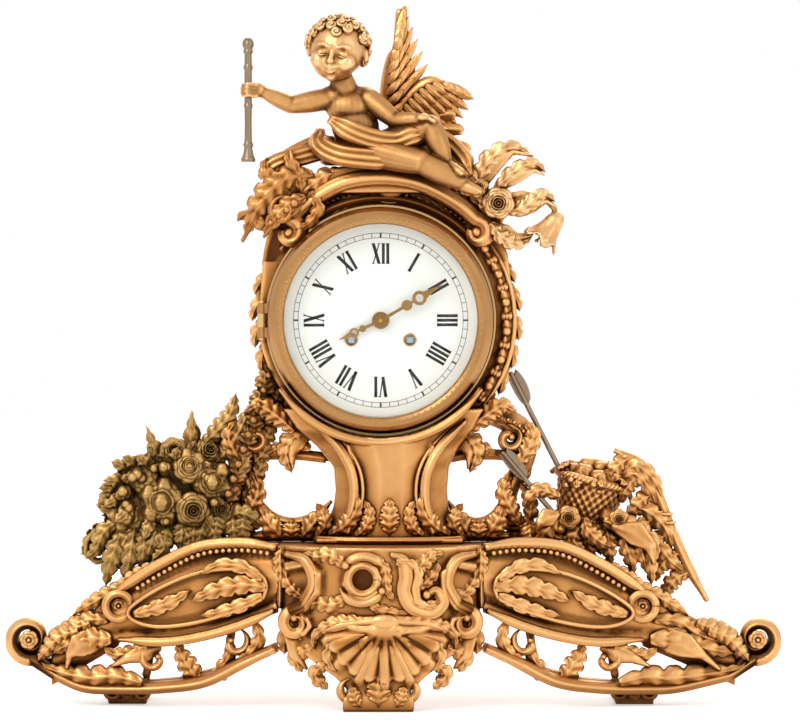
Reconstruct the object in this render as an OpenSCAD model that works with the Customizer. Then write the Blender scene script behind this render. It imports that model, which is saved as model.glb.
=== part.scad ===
/* [Dial and bezel] */
// Radius of the dial that shows inside the bezel
dial_sight_r = 49.4; // [48.6:0.1:50]
// How far the dial runs under the bezel
dial_lap = 2.1; // [1.6:0.1:2.4]
// Thickness of the enamelled dial
dial_t = 1.2; // [1:0.1:1.5]
// Width of the moulded bezel ring
bezel_face = 8.6; // [8.2:0.1:9]
// Depth of the bezel from its seat to its front edge
bezel_d = 12.8; // [12.4:0.1:13.4]
// Thickness of the bezel glass
glass_t = 1.6; // [1.2:0.1:2]
// Radius of both hinge pins
hinge_pin_r = 1; // [0.8:0.05:1.1]
// Length of the minute hand from its axis
minute_len = 37; // [34:0.5:38]
// Length of the hour hand from its axis
hour_len = 24; // [22:0.5:26]

/* [Drum and rear door] */
// Outer radius of the brass drum that holds the movement
drum_r = 55; // [54.6:0.1:55.4]
// Wall of the drum
drum_wall = 1.2; // [1:0.1:1.4]
// Length of the drum
drum_len = 74; // [73:0.5:80]
// Radius of the sound opening in the rear ring
rear_sight_r = 44; // [42:0.5:45]
// Thickness of the rear door
door_t = 1.6; // [1.4:0.1:2]

/* [Movement] */
// Radius of the front movement plate
front_plate_r = 49.6; // [49:0.1:49.8]
// Radius of the back movement plate
back_plate_r = 42; // [41.5:0.1:43]
// Thickness of both plates
plate_t = 2; // [1.8:0.1:2.4]
// Clear distance between the plates
plate_gap = 24; // [24:0.1:25]
// Radius of the four plate pillars
pillar_r = 3; // [2.6:0.1:3.4]
// Radius of the arbors
arbor_r = 0.9; // [0.8:0.05:1]
// Radius of the pivots that run in the plates
pivot_r = 0.6; // [0.5:0.05:0.7]
// Radial clearance of everything that turns
running = 0.05; // [0.03:0.01:0.08]
// Distance of each winding arbor from the dial axis, sideways
wind_x = 15; // [14.8:0.1:15.6]
// How far the winding arbors lie below the dial axis
wind_drop = 10; // [9.6:0.1:10.4]
// Width across the winding squares
wind_square = 3; // [2.6:0.1:3.2]
// Length of the pendulum from its bend to the middle of its bob
pendulum_len = 72; // [68:0.5:74]
// Radius of the pendulum bob
bob_r = 9; // [8:0.5:10]
// Mouth radius of the bell
bell_r = 24; // [22:0.5:25]
// Wall of the bell
bell_wall = 1.4; // [1.2:0.1:1.8]

/* [Case castings] */
// Height of the base up to the seat of the waist
base_h = 83; // [80:0.5:86]
// Height of the waist up to the seat of the dial surround
waist_h = 69; // [66:0.5:72]
// Height of the dial axis above that seat
dial_rise = 45; // [44:0.5:47]
// Wall of the castings
cast_t = 4; // [3.4:0.1:4.6]
// Reach of the left volute from the dial axis
reach_left = 195; // [190:1:200]
// Reach of the right volute from the dial axis
reach_right = 208; // [203:1:213]
// Radius of the volutes at the ends of the base
volute_r = 14.6; // [13.6:0.2:15.6]
// Height of the volute centres
volute_z = 33; // [31:0.5:35]
// Half-width of the middle casting of the base
root_x = 52; // [50:0.5:54]
// Radius of the bowed front of the base, seen from above
bow_r = 75; // [72:0.5:78]
// Distance from the dial seat forward to the front of the bow
bow_front = 42; // [40:0.5:45]
// Distance from the dial seat back to the rear edge of the base
base_back = 45; // [42:0.5:48]
// Height of the two side feet
pad_h = 7; // [6:0.5:8]
// Thickness of the plate that surrounds the dial
surround_t = 12; // [11:0.5:13]
// Radius of the surround at the left
surround_left = 62.5; // [62:0.1:63.5]
// Radius of the surround at the right
surround_right = 69; // [68:0.1:70]
// Height of the arch above the dial axis
arch_rise = 79; // [77:0.5:81]

/* [Figure and trophies] */
// Radius of the figure's head
head_r = 15.6; // [14.6:0.2:16.6]
// Height of the head's centre above the seat
head_rise = 59; // [57:0.5:61]
// Length of the staff
staff_len = 63; // [60:0.5:66]
// Radius of the staff
staff_r = 2.6; // [2.2:0.1:3]
// Height of the upright wing above the seat
wing_rise = 83; // [80:0.5:86]
// Height of the basket of the right-hand trophy
basket_h = 30; // [28:0.5:32]
// Radius of the basket's rim
basket_r = 19; // [18:0.5:20]

/* [Hidden] */
$fn = 48;
hull_fn = 8;
fit = 0.3;

// Depths along Y: the dial seat is y = 0 and the front is negative
ring_t = 1.5;
ring_rim = 3;
dial_back = -ring_t;
dial_front = dial_back - dial_t;
bezel_back = -ring_rim - 0.1;
bezel_front = bezel_back - bezel_d;
post_len = 8;
front_plate_y = post_len;
train_y = front_plate_y + plate_t;
back_plate_y = train_y + plate_gap;
behind_y = back_plate_y + plate_t;
drum_back = drum_len;
rear_ring_t = 3;
rear_ring_front = drum_back - rear_ring_t;
door_front = drum_back + 0.8;
knob_len = 4;
depth_back = door_front + door_t + knob_len;

relief_front = 4.7;

// Heights and the dial axis
seat_z = base_h + waist_h;
dial_z = seat_z + dial_rise;
bezel_r = dial_sight_r + bezel_face;
dial_r = dial_sight_r + dial_lap;
bore_r = drum_r + 0.4;
figure_z = dial_z + arch_rise;

// The bounding box is centred on the origin
axis_x = (reach_left - reach_right) / 2;
axis_y = (bow_front + relief_front - depth_back) / 2;

// Small functions
function mix(a, b, t) = a + (b - a) * t;
function unit(v) = v / norm(v);
function belly(v, t) = v[0] * (1 - t) * (1 - t) + 2 * v[1] * t * (1 - t) + v[2] * t * t;
// Curves and spirals take this share of the steps asked of them
smooth = 0.5;
function steps_of(n) = max(2, round(n * smooth));
function curve(a, b, c, d, n) = [
    for (i = [0 : steps_of(n)]) let (t = i / steps_of(n), s = 1 - t)
        a * s * s * s + 3 * b * s * s * t + 3 * c * s * t * t + d * t * t * t
];
function spiral(centre, r, a, n) = [
    for (i = [0 : steps_of(n)]) let (t = i / steps_of(n), q = mix(a[0], a[1], t))
        centre + mix(r[0], r[1], t) * [cos(q), sin(q)]
];
// Where two arbors' centre distances meet, on the given side of their line
function meet(p, p_r, q, q_r, side) =
    let (d = norm(q - p), along = (d * d + p_r * p_r - q_r * q_r) / (2 * d),
         off = sqrt(p_r * p_r - along * along), u = (q - p) / d)
    p + along * u + side * off * [-u[1], u[0]];
function bow_y(x) = bow_r - bow_front - sqrt(bow_r * bow_r - x * x);
function aim(from, to) = atan2(to[1] - from[1], to[0] - from[0]);

// Outlines are drawn in x and z, and run from one depth to another
module slab(front, back) {
    translate([0, back, 0]) rotate([90, 0, 0]) linear_extrude(back - front) children();
}
module at(p) {
    translate([p[0], 0, p[1]]) children();
}
module rod(r, front, back) {
    translate([0, front, 0]) rotate([-90, 0, 0]) cylinder(r = r, h = back - front);
}
module turned(profile) {
    rotate([-90, 0, 0]) rotate_extrude() polygon(profile);
}
module ring(inner, outer, front, back) {
    turned([[inner, front], [outer, front], [outer, back], [inner, back]]);
}
module placed() {
    translate([axis_x, axis_y, 0]) children();
}

// A moulding of oval section along a path of [x, y, z] points. Its half-width and its
// half-depth each run from a first value through a middle one to a last one.
module moulding(path, wide, deep, sides = 5) {
    n = len(path);
    points = [
        for (i = [0 : n - 1])
            let (t = i / (n - 1), before = path[max(i - 1, 0)], after = path[min(i + 1, n - 1)],
                 run = unit([after[0] - before[0], 0, after[2] - before[2]]),
                 across = [-run[2], 0, run[0]])
            for (j = [0 : sides - 1]) let (a = 360 * (j + 0.5) / sides)
                path[i] + belly(wide, t) * cos(a) * across + [0, belly(deep, t) * sin(a), 0]
    ];
    walls = [
        for (i = [0 : n - 2], j = [0 : sides - 1])
            let (k = (j + 1) % sides, a = i * sides + j, b = i * sides + k)
            each [[a, b, b + sides], [a, b + sides, a + sides]]
    ];
    first = [for (j = [sides - 1 : -1 : 0]) j];
    last = [for (j = [0 : sides - 1]) (n - 1) * sides + j];
    polyhedron(points, concat([first], walls, [last]));
}
// A sheet of metal over a grid of points, thickened by an offset
module sheet(grid, offset_by) {
    rows = len(grid);
    cols = len(grid[0]);
    front = [for (row = grid) each row];
    back = [for (p = front) p + offset_by];
    m = rows * cols;
    function id(i, j) = i * cols + j;
    faces = [
        for (i = [0 : rows - 2], j = [0 : cols - 2])
            let (a = id(i, j), b = id(i, j + 1), c = id(i + 1, j + 1), d = id(i + 1, j))
            each [[a, b, c], [a, c, d], [m + a, m + c, m + b], [m + a, m + d, m + c]]
    ];
    ends = [
        for (j = [0 : cols - 2])
            let (a = id(0, j), b = id(0, j + 1), c = id(rows - 1, j), d = id(rows - 1, j + 1))
            each [[a, m + b, b], [a, m + a, m + b], [c, d, m + d], [c, m + d, m + c]]
    ];
    sides = [
        for (i = [0 : rows - 2])
            let (a = id(i, 0), b = id(i + 1, 0), c = id(i, cols - 1), d = id(i + 1, cols - 1))
            each [[a, b, m + b], [a, m + b, m + a], [c, m + d, d], [c, m + c, m + d]]
    ];
    // Faces turn outward whichever way the grid runs
    turned_in = cross(grid[1][0] - grid[0][0], grid[0][1] - grid[0][0]) * offset_by > 0;
    polyhedron([each front, each back],
        [for (f = concat(faces, ends, sides)) turned_in ? [f[2], f[1], f[0]] : f]);
}
module ball(p, r, squash = [1, 1, 1]) {
    translate(p) scale(squash) sphere(r, $fn = r > 9 ? hull_fn : r > 3.3 ? 6 : 5);
}
module limb(p, p_r, q, q_r) {
    hull() {
        ball(p, p_r);
        ball(q, q_r);
    }
}
// A leaf along a curve in x and z, pointed at its tip and ridged in the middle
module leaf(path, half, y, lift, t = 2) {
    n = len(path) - 1;
    grid = [
        for (i = [0 : n])
            let (u = i / n, before = path[max(i - 1, 0)], after = path[min(i + 1, n)],
                 run = unit(after - before), across = [-run[1], run[0]],
                 w = half * (0.25 + 0.75 * sin(180 * min(u * 1.25, 1))) * (1 - 0.55 * u * u))
            [for (v = [-1 : 1])
                [path[i][0] + across[0] * v * w,
                 y - lift * sin(150 * u) - t * 0.8 * (1 - abs(v)),
                 path[i][1] + across[1] * v * w]]
    ];
    sheet(grid, [0, t, 0]);
}
// Points of an [x, z] curve at a depth that may change with x
function on_depth(path, depth) = [for (p = path) [p[0], depth, p[1]]];

// A toothed wheel with a tooth that points along aim_a
module toothed(n, m, share, tip, aim_a) {
    pitch_r = n * m / 2;
    step = 360 / n;
    foot = pitch_r - 1.25 * m;
    head = pitch_r + tip * m;
    polygon([
        for (i = [0 : n - 1]) let (a = aim_a + i * step)
            each [
                foot * [cos(a - step * share * 0.62), sin(a - step * share * 0.62)],
                head * [cos(a - step * share * 0.3), sin(a - step * share * 0.3)],
                head * [cos(a + step * share * 0.3), sin(a + step * share * 0.3)],
                foot * [cos(a + step * share * 0.62), sin(a + step * share * 0.62)]
            ]
    ]);
}
tooth_tip = 0.7;
module wheel_teeth(n, m, aim_a) toothed(n, m, 0.4, tooth_tip, aim_a);
// A pinion has a gap, not a leaf, along aim_a
module pinion_leaves(n, m, aim_a) toothed(n, m, 0.32, 0.5, aim_a + 180 / n);
// A wheel with its rim, spokes and hub
module crossed_wheel(n, m, aim_a, front, back, hub_r, spokes = 4) {
    rim = n * m / 2 - 1.25 * m - 1.2;
    slab(front, back) difference() {
        wheel_teeth(n, m, aim_a);
        difference() {
            circle(rim);
            circle(hub_r);
            for (i = [0 : spokes - 1]) rotate(i * 360 / spokes + 20)
                translate([0, -0.7]) square([rim + 0.5, 1.4]);
        }
    }
}
// An arbor with its two pivots, its shoulders clear of the plates
// Radius of an arbor where the wheel that drives its small pinion reaches in
function neck(n, m) = n * m / 2 - tooth_tip * m - running;
module arbor(neck_y = train_y + 2, neck_r = arbor_r) {
    shake = 0.15;
    neck_end = neck_y + wheel_t + 1.2;
    rod(arbor_r, train_y + shake, neck_y - 1.2);
    rod(neck_r, neck_y - 1.3, neck_end + 0.1);
    rod(arbor_r, neck_end, back_plate_y - shake);
    rod(pivot_r, front_plate_y + 0.3, train_y + 1);
    rod(pivot_r, back_plate_y - 1, behind_y - 0.3);
}

// Tooth counts and modules
barrel_n = 68;
barrel_m = 0.4;
second_pinion_n = 10;
second_n = 66;
second_m = 0.36;
centre_pinion_n = 8;
centre_n = 78;
centre_m = 0.3;
third_pinion_n = 6;
third_n = 78;
third_m = 0.26;
escape_pinion_n = 6;
escape_n = 36;
strike_second_n = 54;
pin_pinion_n = 8;
pin_n = 60;
pin_m = 0.3;
fly_pinion_n = 6;
cannon_n = 12;
cannon_m = 0.5;
minute_n = 36;
minute_pinion_n = 8;
hour_n = 32;
hour_m = 0.6;
function spacing(a, b, m) = (a + b) * m / 2;

// Arbor places in x and z
centre_p = [0, dial_z];
going_p = [wind_x, dial_z - wind_drop];
strike_p = [-wind_x, dial_z - wind_drop];
second_p = meet(centre_p, spacing(second_n, centre_pinion_n, second_m),
    going_p, spacing(barrel_n, second_pinion_n, barrel_m), 1);
escape_p = [0, dial_z + 21.5];
third_p = meet(centre_p, spacing(centre_n, third_pinion_n, centre_m),
    escape_p, spacing(third_n, escape_pinion_n, third_m), 1);
pallet_p = [0, dial_z + 36];
minute_p = centre_p + spacing(cannon_n, minute_n, cannon_m) * [cos(45), sin(45)];
strike_second_p = strike_p
    + spacing(barrel_n, second_pinion_n, barrel_m) * [cos(132), sin(132)];
pin_p = strike_second_p + spacing(strike_second_n, pin_pinion_n, second_m) * [cos(75), sin(75)];
fly_p = pin_p + spacing(pin_n, fly_pinion_n, pin_m) * [cos(80), sin(80)];
hammer_p = [-33.5, dial_z + 16];
bell_p = [0, dial_z - 9];
bell_post_p = [bell_r + 7, dial_z - 20];
post_r = 1.6;
post_reach = front_plate_r - post_r - 0.4;
pillar_reach = back_plate_r - pillar_r - 1;
function around(reach, a) = centre_p + reach * [cos(a), sin(a)];
post_angles = [45, 135, 225, 315];
pillar_angles = [50, 168, 235, 305];

// Depths of the train
barrel_front = train_y + 2;
barrel_back = barrel_front + 12.5;
barrel_teeth_y = barrel_front + 1;
centre_wheel_y = train_y + 15.6;
second_wheel_y = train_y + 19.4;
third_wheel_y = train_y + 9.8;
escape_y = train_y + 4;
pin_wheel_y = train_y + 6;
wheel_t = 1.2;

module base_bolts() color("goldenrod") placed()
    for (s = [-1, 1], y = bolt_ys) translate([s * root_x, y, bolt_z]) rotate([0, 90, 0]) {
        cylinder(r = bolt_r, h = 2 * cast_t + 2 * nut_h + 1, center = true);
        for (t = [-1, 1])
            translate([0, 0, t * (cast_t + nut_h / 2)])
                cylinder(r = bolt_r * 1.9, h = nut_h, center = true);
    }
bolt_r = 2;
nut_h = 2.4;
bolt_ys = [4, 30];
bolt_z = base_h - 13;

// The middle casting of the base: a bowed wall with its deck, shell and foot
module base_centre() color("goldenrod") placed() {
    bow_c = bow_r - bow_front;
    foot_l = -19;
    foot_r = 17;
    difference() {
        union() {
            intersection() {
                slab(-bow_front, base_back) polygon(concat(
                    curve([-root_x, base_h], [-root_x, 60], [-root_x, 44], [-46, 34], 6),
                    curve([-36, 26], [-26, 20], [-18, 14], [-14, 8], 4),
                    curve([13, 8], [18, 14], [26, 20], [34, 26], 4),
                    curve([46, 34], [root_x, 44], [root_x, 60], [root_x, base_h], 6)));
                translate([0, bow_c, 0]) difference() {
                    cylinder(r = bow_r, h = base_h);
                    translate([0, 0, -1]) cylinder(r = bow_r - cast_t, h = base_h + 2);
                    translate([-bow_r, 0, -1]) cube([2 * bow_r, 2 * bow_r, base_h + 2]);
                }
            }
            // Deck
            translate([0, 0, base_h - cast_t]) linear_extrude(cast_t) intersection() {
                translate([0, bow_c]) circle(bow_r - 0.5);
                translate([-root_x, -bow_front]) square([2 * root_x, bow_front + base_back]);
            }
            // Flanges for the arms
            for (s = [-1, 1])
                translate([s * (root_x - cast_t / 2) - cast_t / 2, bow_y(root_x) + 1,
                    base_h - 26])
                    cube([cast_t, base_back - bow_y(root_x) - 1, 26]);
            // Foot
            hull() {
                translate([foot_l, -bow_front - 1, 0]) cube([foot_r - foot_l, 26, 6]);
                translate([foot_l + 5, -bow_front + 2, 0]) cube([foot_r - foot_l - 10, 22, 15]);
            }
            // Shell under the boss
            for (i = [-3 : 3]) let (a = 270 + i * 25, p = [2 + 30 * cos(a), 44 + 31 * sin(a)])
                hull() {
                    ball([2 + 5 * cos(a), bow_y(0) - 1, 44 + 5 * sin(a)], 3.2);
                    ball([p[0], bow_y(p[0]) + 1.5, max(p[1], 9)], 4.4);
                }
            // Band over the shell
            moulding([for (p = curve([-24, 47], [-10, 39], [16, 39], [31, 45], 10))
                [p[0], bow_y(p[0]) - 1, p[1]]], [2, 4.6, 2], [2, 5, 2]);
            // Boss ring and the S-scrolls beside it
            moulding([for (p = spiral([-9, 66], [9, 9], [0, 330], 14))
                [p[0], bow_y(p[0]) - 0.5, p[1]]], [2.2, 3, 2.2], [2.5, 4, 2.5]);
            moulding([for (p = curve([8, 77], [34, 74], [2, 58], [28, 50], 10))
                [p[0], bow_y(p[0]) - 1, p[1]]], [2, 4.5, 3], [3, 4.5, 3]);
            for (s = [-1, 1]) {
                moulding([for (p = concat(curve([s * 49, 72], [s * 30, 84], [s * 26, 60],
                        [s * 39, 52], 8), spiral([s * 40, 44], [8, 3], [90, 90 - s * 380], 12)))
                    [p[0], bow_y(p[0]) - 0.5, p[1]]], [3.4, 3.4, 1.6], [4, 4.5, 2.5]);
                // Leaf drops on both sides of the shell
                leaf(curve([s * 37, 40], [s * 48, 36], [s * 46, 28], [s * 37, 20], 6), 7,
                    bow_y(42) + 3, 3);
            }
        }
        for (s = [-1, 1], y = bolt_ys) translate([s * root_x, y, bolt_z])
            rotate([0, 90, 0])
                cylinder(r = bolt_r + fit, h = 4 * cast_t, center = true, $fn = 16);
        // The back and the underside are open, and every face stays inside its neighbours
        for (s = [-1, 1]) translate([s * (root_x + 20), 0, 60]) cube([40, 300, 200], center = true);
        translate([-100, -100, base_h]) cube([200, 200, 20]);
        translate([-100, -100, -20]) cube([200, 200, 20]);
    }
}

// One arm of the base, drawn for the right: s mirrors it
module base_arm(s, reach) {
    tip_y = 8;
    root_y = bow_y(root_x);
    panel_end = 138;
    function depth(x) = mix(root_y, tip_y, (x - root_x) / (reach - root_x));
    top = curve([root_x, base_h], [84, base_h + 3], [114, base_h - 6], [panel_end, 56], 10);
    low = curve([root_x, 52], [74, 42], [110, 31], [panel_end, 35], 10);
    volute = [reach - volute_r, volute_z];
    turn_r = volute_r - 4;
    start = volute + turn_r * [cos(-110), sin(-110)];
    mirror([s < 0 ? 1 : 0, 0, 0]) difference() {
        union() {
            // Convex front panel
            sheet([for (i = [0 : len(top) - 1]) [for (v = [0 : 0.25 : 1])
                let (x = mix(low[i][0], top[i][0], v))
                [x, depth(x) + 2 - 7 * sin(180 * v), mix(low[i][1], top[i][1], v)]]],
                [0, cast_t - 0.5, 0]);
            // Shelf that runs back from the top of the panel
            sheet([for (i = [0 : len(top) - 1]) [
                [top[i][0], depth(top[i][0]) + 1, top[i][1]],
                [top[i][0], base_back - 7, top[i][1]]]], [0, 0, -cast_t + 0.5]);
            // Flange to the middle casting
            translate([root_x, root_y + 1, base_h - 26])
                cube([cast_t, base_back - 8 - root_y, 25.5]);
            // Shoulder between the panel and the volute
            sheet([for (i = [0 : 3]) let (x = mix(panel_end - 4, reach - 26, i / 3))
                [for (v = [0 : 0.25 : 1])
                    [x, depth(x) + 2 - 5 * sin(180 * v),
                     mix(mix(30, 9, i / 3), mix(58, 33, i / 3), v)]]], [0, cast_t + 2, 0]);
            // Top border, running on over the shoulder
            moulding([for (p = concat(top, curve([panel_end + 5, 51], [panel_end + 14, 42],
                [reach - 50, 30], [reach - 32, 27], 6))) [p[0], depth(p[0]) + 2, p[1] - 1.5]],
                [3, 4.2, 2.4], [4, 6, 4]);
            // Lower border of the panel
            moulding([for (p = low) [p[0], depth(p[0]) + 1, p[1]]], [3.4, 3.2, 3], [4.5, 4.5, 4]);
            // Lower rail with the volute at its end
            moulding([for (p = concat(
                curve([root_x, 31], [72, 22], [92, 10], [126, 9], 8),
                curve([136, 8.6], [150, 8], [start[0] - 12, start[1] - 6], start, 5),
                spiral(volute, [turn_r, 3], [-100, 330], 36)))
                [p[0], depth(p[0]) + 6, p[1]]], [3, 4.2, 2.2], [6, 10, 7]);
            // Eye of the volute
            translate([volute[0], depth(volute[0]) - 2, volute[1]]) ball([0, 0, 0], 4.4);
            // Ring rosette
            translate([panel_end - 4, depth(panel_end) - 2, 51]) rotate([90, 0, 0])
                rotate_extrude($fn = 14) translate([6, 0]) circle(2.6, $fn = 6);
            // Acanthus on the shoulder and under the panel
            leaf(curve([panel_end + 2, 34], [panel_end + 12, 34], [panel_end + 24, 30],
                [reach - 34, 18], 7), 8, depth(panel_end + 14) - 2, 4);
            leaf(curve([112, 30], [120, 26], [130, 26], [138, 20], 6), 6, depth(124) - 1, 3);
            // Side foot
            hull() {
                translate([120, depth(132) + 4, 0]) cube([20, 36 - depth(132), 3]);
                translate([122, depth(132) + 6, 0]) cube([16, 32 - depth(132), pad_h + 2]);
            }
            // Bosses that carry the brackets and the trophies
            for (x = boss_xs) translate([x, boss_y, base_h - 12])
                cylinder(r = 5, h = 12 + boss_rise, $fn = 16);
            // Scroll ties between the panel and the rail
            for (x = [76, 116]) limb([x, depth(x) + 4, 38], 2.6, [x + 4, depth(x) + 5, 15], 2.6);
        }
        for (y = bolt_ys) translate([root_x, y, bolt_z])
            rotate([0, 90, 0])
                cylinder(r = bolt_r + fit, h = 4 * cast_t, center = true, $fn = 16);
        translate([root_x - 40, -100, -10]) cube([40, 200, 200]);
        translate([0, -100, -20]) cube([300, 200, 20]);
        for (x = boss_xs) translate([x, boss_y, base_h + boss_rise])
            cylinder(r = 5.5, h = 40, $fn = 16);
    }
}
boss_xs = [69, 100];
boss_y = 18;
boss_rise = 5;
module base_arm_left() color("goldenrod") placed() base_arm(-1, reach_left);
module base_arm_right() color("goldenrod") placed() base_arm(1, reach_right);

// The waist: a bulged pedestal, open at the back, with two brackets
module waist() color("goldenrod") placed() {
    left = concat(
        curve([-30, base_h], [-30, base_h + 9], [-22, base_h + 15], [-23, base_h + 27], 6),
        curve([-24, seat_z - 30], [-30, seat_z - 18], [-46, seat_z - 12], [-50, seat_z], 6));
    right = concat(
        curve([39, base_h], [39, base_h + 9], [33, base_h + 15], [34, base_h + 27], 6),
        curve([35, seat_z - 30], [38, seat_z - 18], [49, seat_z - 12], [53, seat_z], 6));
    n = len(left) - 1;
    wall = cast_t - 1;
    difference() {
        union() {
            // Side walls and shoulders
            difference() {
                slab(-4, base_back - 5) polygon(concat(left, [for (i = [n : -1 : 0]) right[i]]));
                slab(-20, base_back + 20) polygon(concat(
                    [for (p = left) [p[0] + wall, min(max(p[1], base_h - 1), seat_z - 6)]],
                    [for (i = [n : -1 : 0])
                        [right[i][0] - wall, min(max(right[i][1], base_h - 1), seat_z - 6)]]));
            }
            // Bulged front
            sheet([for (i = [0 : n]) [for (v = [0 : 0.2 : 1])
                [mix(left[i][0], right[i][0], v), -4 - 13 * pow(sin(180 * v), 0.8),
                 mix(left[i][1], right[i][1], v)]]], [0, wall + 1, 0]);
            // Foot flange and the raised border of the panel
            slab(-16, base_back - 5) difference() {
                translate([-33, base_h]) square([75, 3]);
                translate([-20, base_h - 1]) square([46, 5]);
            }
            for (s = [-1, 1]) moulding([for (p = curve([5 + s * 22, base_h + 5],
                [5 + s * 16, base_h + 20], [5 + s * 14, base_h + 30], [5 + s * 22, seat_z - 18], 10))
                [p[0], -15 + abs(p[0] - 5) * 0.12, p[1]]], [1.6, 2.4, 1.6], [3, 3.6, 3]);
            // Brackets from the shoulders to the bosses of the arms
            for (s = [-1, 1]) let (sx = s < 0 ? 0 : 2) {
                moulding([for (p = concat(
                    curve([s * 48 + sx, seat_z - 4], [s * 62, seat_z - 6],
                        [s * 76, seat_z - 12], [s * 75, seat_z - 24], 7),
                    curve([s * 74, seat_z - 34], [s * 66, seat_z - 40], [s * 63, seat_z - 48],
                        [s * boss_xs[0], base_h + boss_rise + 4], 6)))
                    [p[0], boss_y - 8, p[1]]], [4, 4.5, 4], [6, 7, 6]);
                translate([s * boss_xs[0], boss_y, base_h + boss_rise])
                    cylinder(r = 5, h = 5, $fn = 16);
                moulding([for (p = spiral([s * 66, seat_z - 15], [7, 2.5], [90, 90 - s * 400], 14))
                    [p[0], boss_y - 12, p[1]]], [2.4, 2.4, 1.4], [4, 4, 3]);
                // Bar across the side opening
                limb([s * 30 + 3, boss_y - 8, seat_z - 26], 2.2,
                    [s * 70, boss_y - 8, seat_z - 25], 2.2);
                leaf(curve([s * 44, seat_z - 10], [s * 54, seat_z], [s * 62, seat_z + 4],
                    [s * 70, seat_z - 2], 6), 7, boss_y - 15, 3);
                leaf(curve([s * 36, seat_z - 12], [s * 44, seat_z - 16], [s * 48, seat_z - 22],
                    [s * 45, seat_z - 32], 6), 6, 4, 3);
            }
        }
        // Saddles for the drum and for the bezel
        at(centre_p) {
            rod(bore_r, 0, 200);
            rod(bezel_r + 1.5, -100, 0.01);
        }
        translate([-200, -200, seat_z]) cube(400);
        translate([-60, -200, -1]) cube([120, 400, base_h + 1]);
        for (s = [-1, 1]) translate([s * boss_xs[0] - 20, -100, -1])
            cube([40, 200, base_h + boss_rise + 1]);
        // Bolt holes in the shoulders, with room for the nuts under them
        for (s = [-1, 1]) translate([s * bolt_seat_x, surround_t / 2, seat_z - 20]) {
            cylinder(r = bolt_r + fit, h = 40, $fn = 16);
            translate([0, 0, 14 - nut_h - fit]) cylinder(r = nut_r + fit, h = nut_h + fit);
        }
    }
}
bolt_seat_x = 42;
nut_r = bolt_r * 1.7;
module surround_bolts() color("goldenrod") placed()
    for (s = [-1, 1]) translate([s * bolt_seat_x, surround_t / 2, seat_z - 6 - nut_h]) {
        cylinder(r = nut_r, h = nut_h);
        cylinder(r = bolt_r, h = nut_h + 6 + 5);
    }

// Scroll over the recessed panel, cut out of what is bolted over it
module arch_scroll(grow) {
    moulding([for (p = concat(
        spiral([-47, dial_z + 45], [3, 7], [-200, 90], 9),
        curve([-38, dial_z + 60], [-22, dial_z + 76], [24, dial_z + 76], [40, dial_z + 60], 12),
        spiral([49, dial_z + 45], [7, 3], [90, -200], 9)))
        [p[0], -2, p[1]]], [2.2 + grow, 4.6 + grow, 2.2 + grow], [4 + grow, 6 + grow, 4 + grow]);
}
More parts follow.
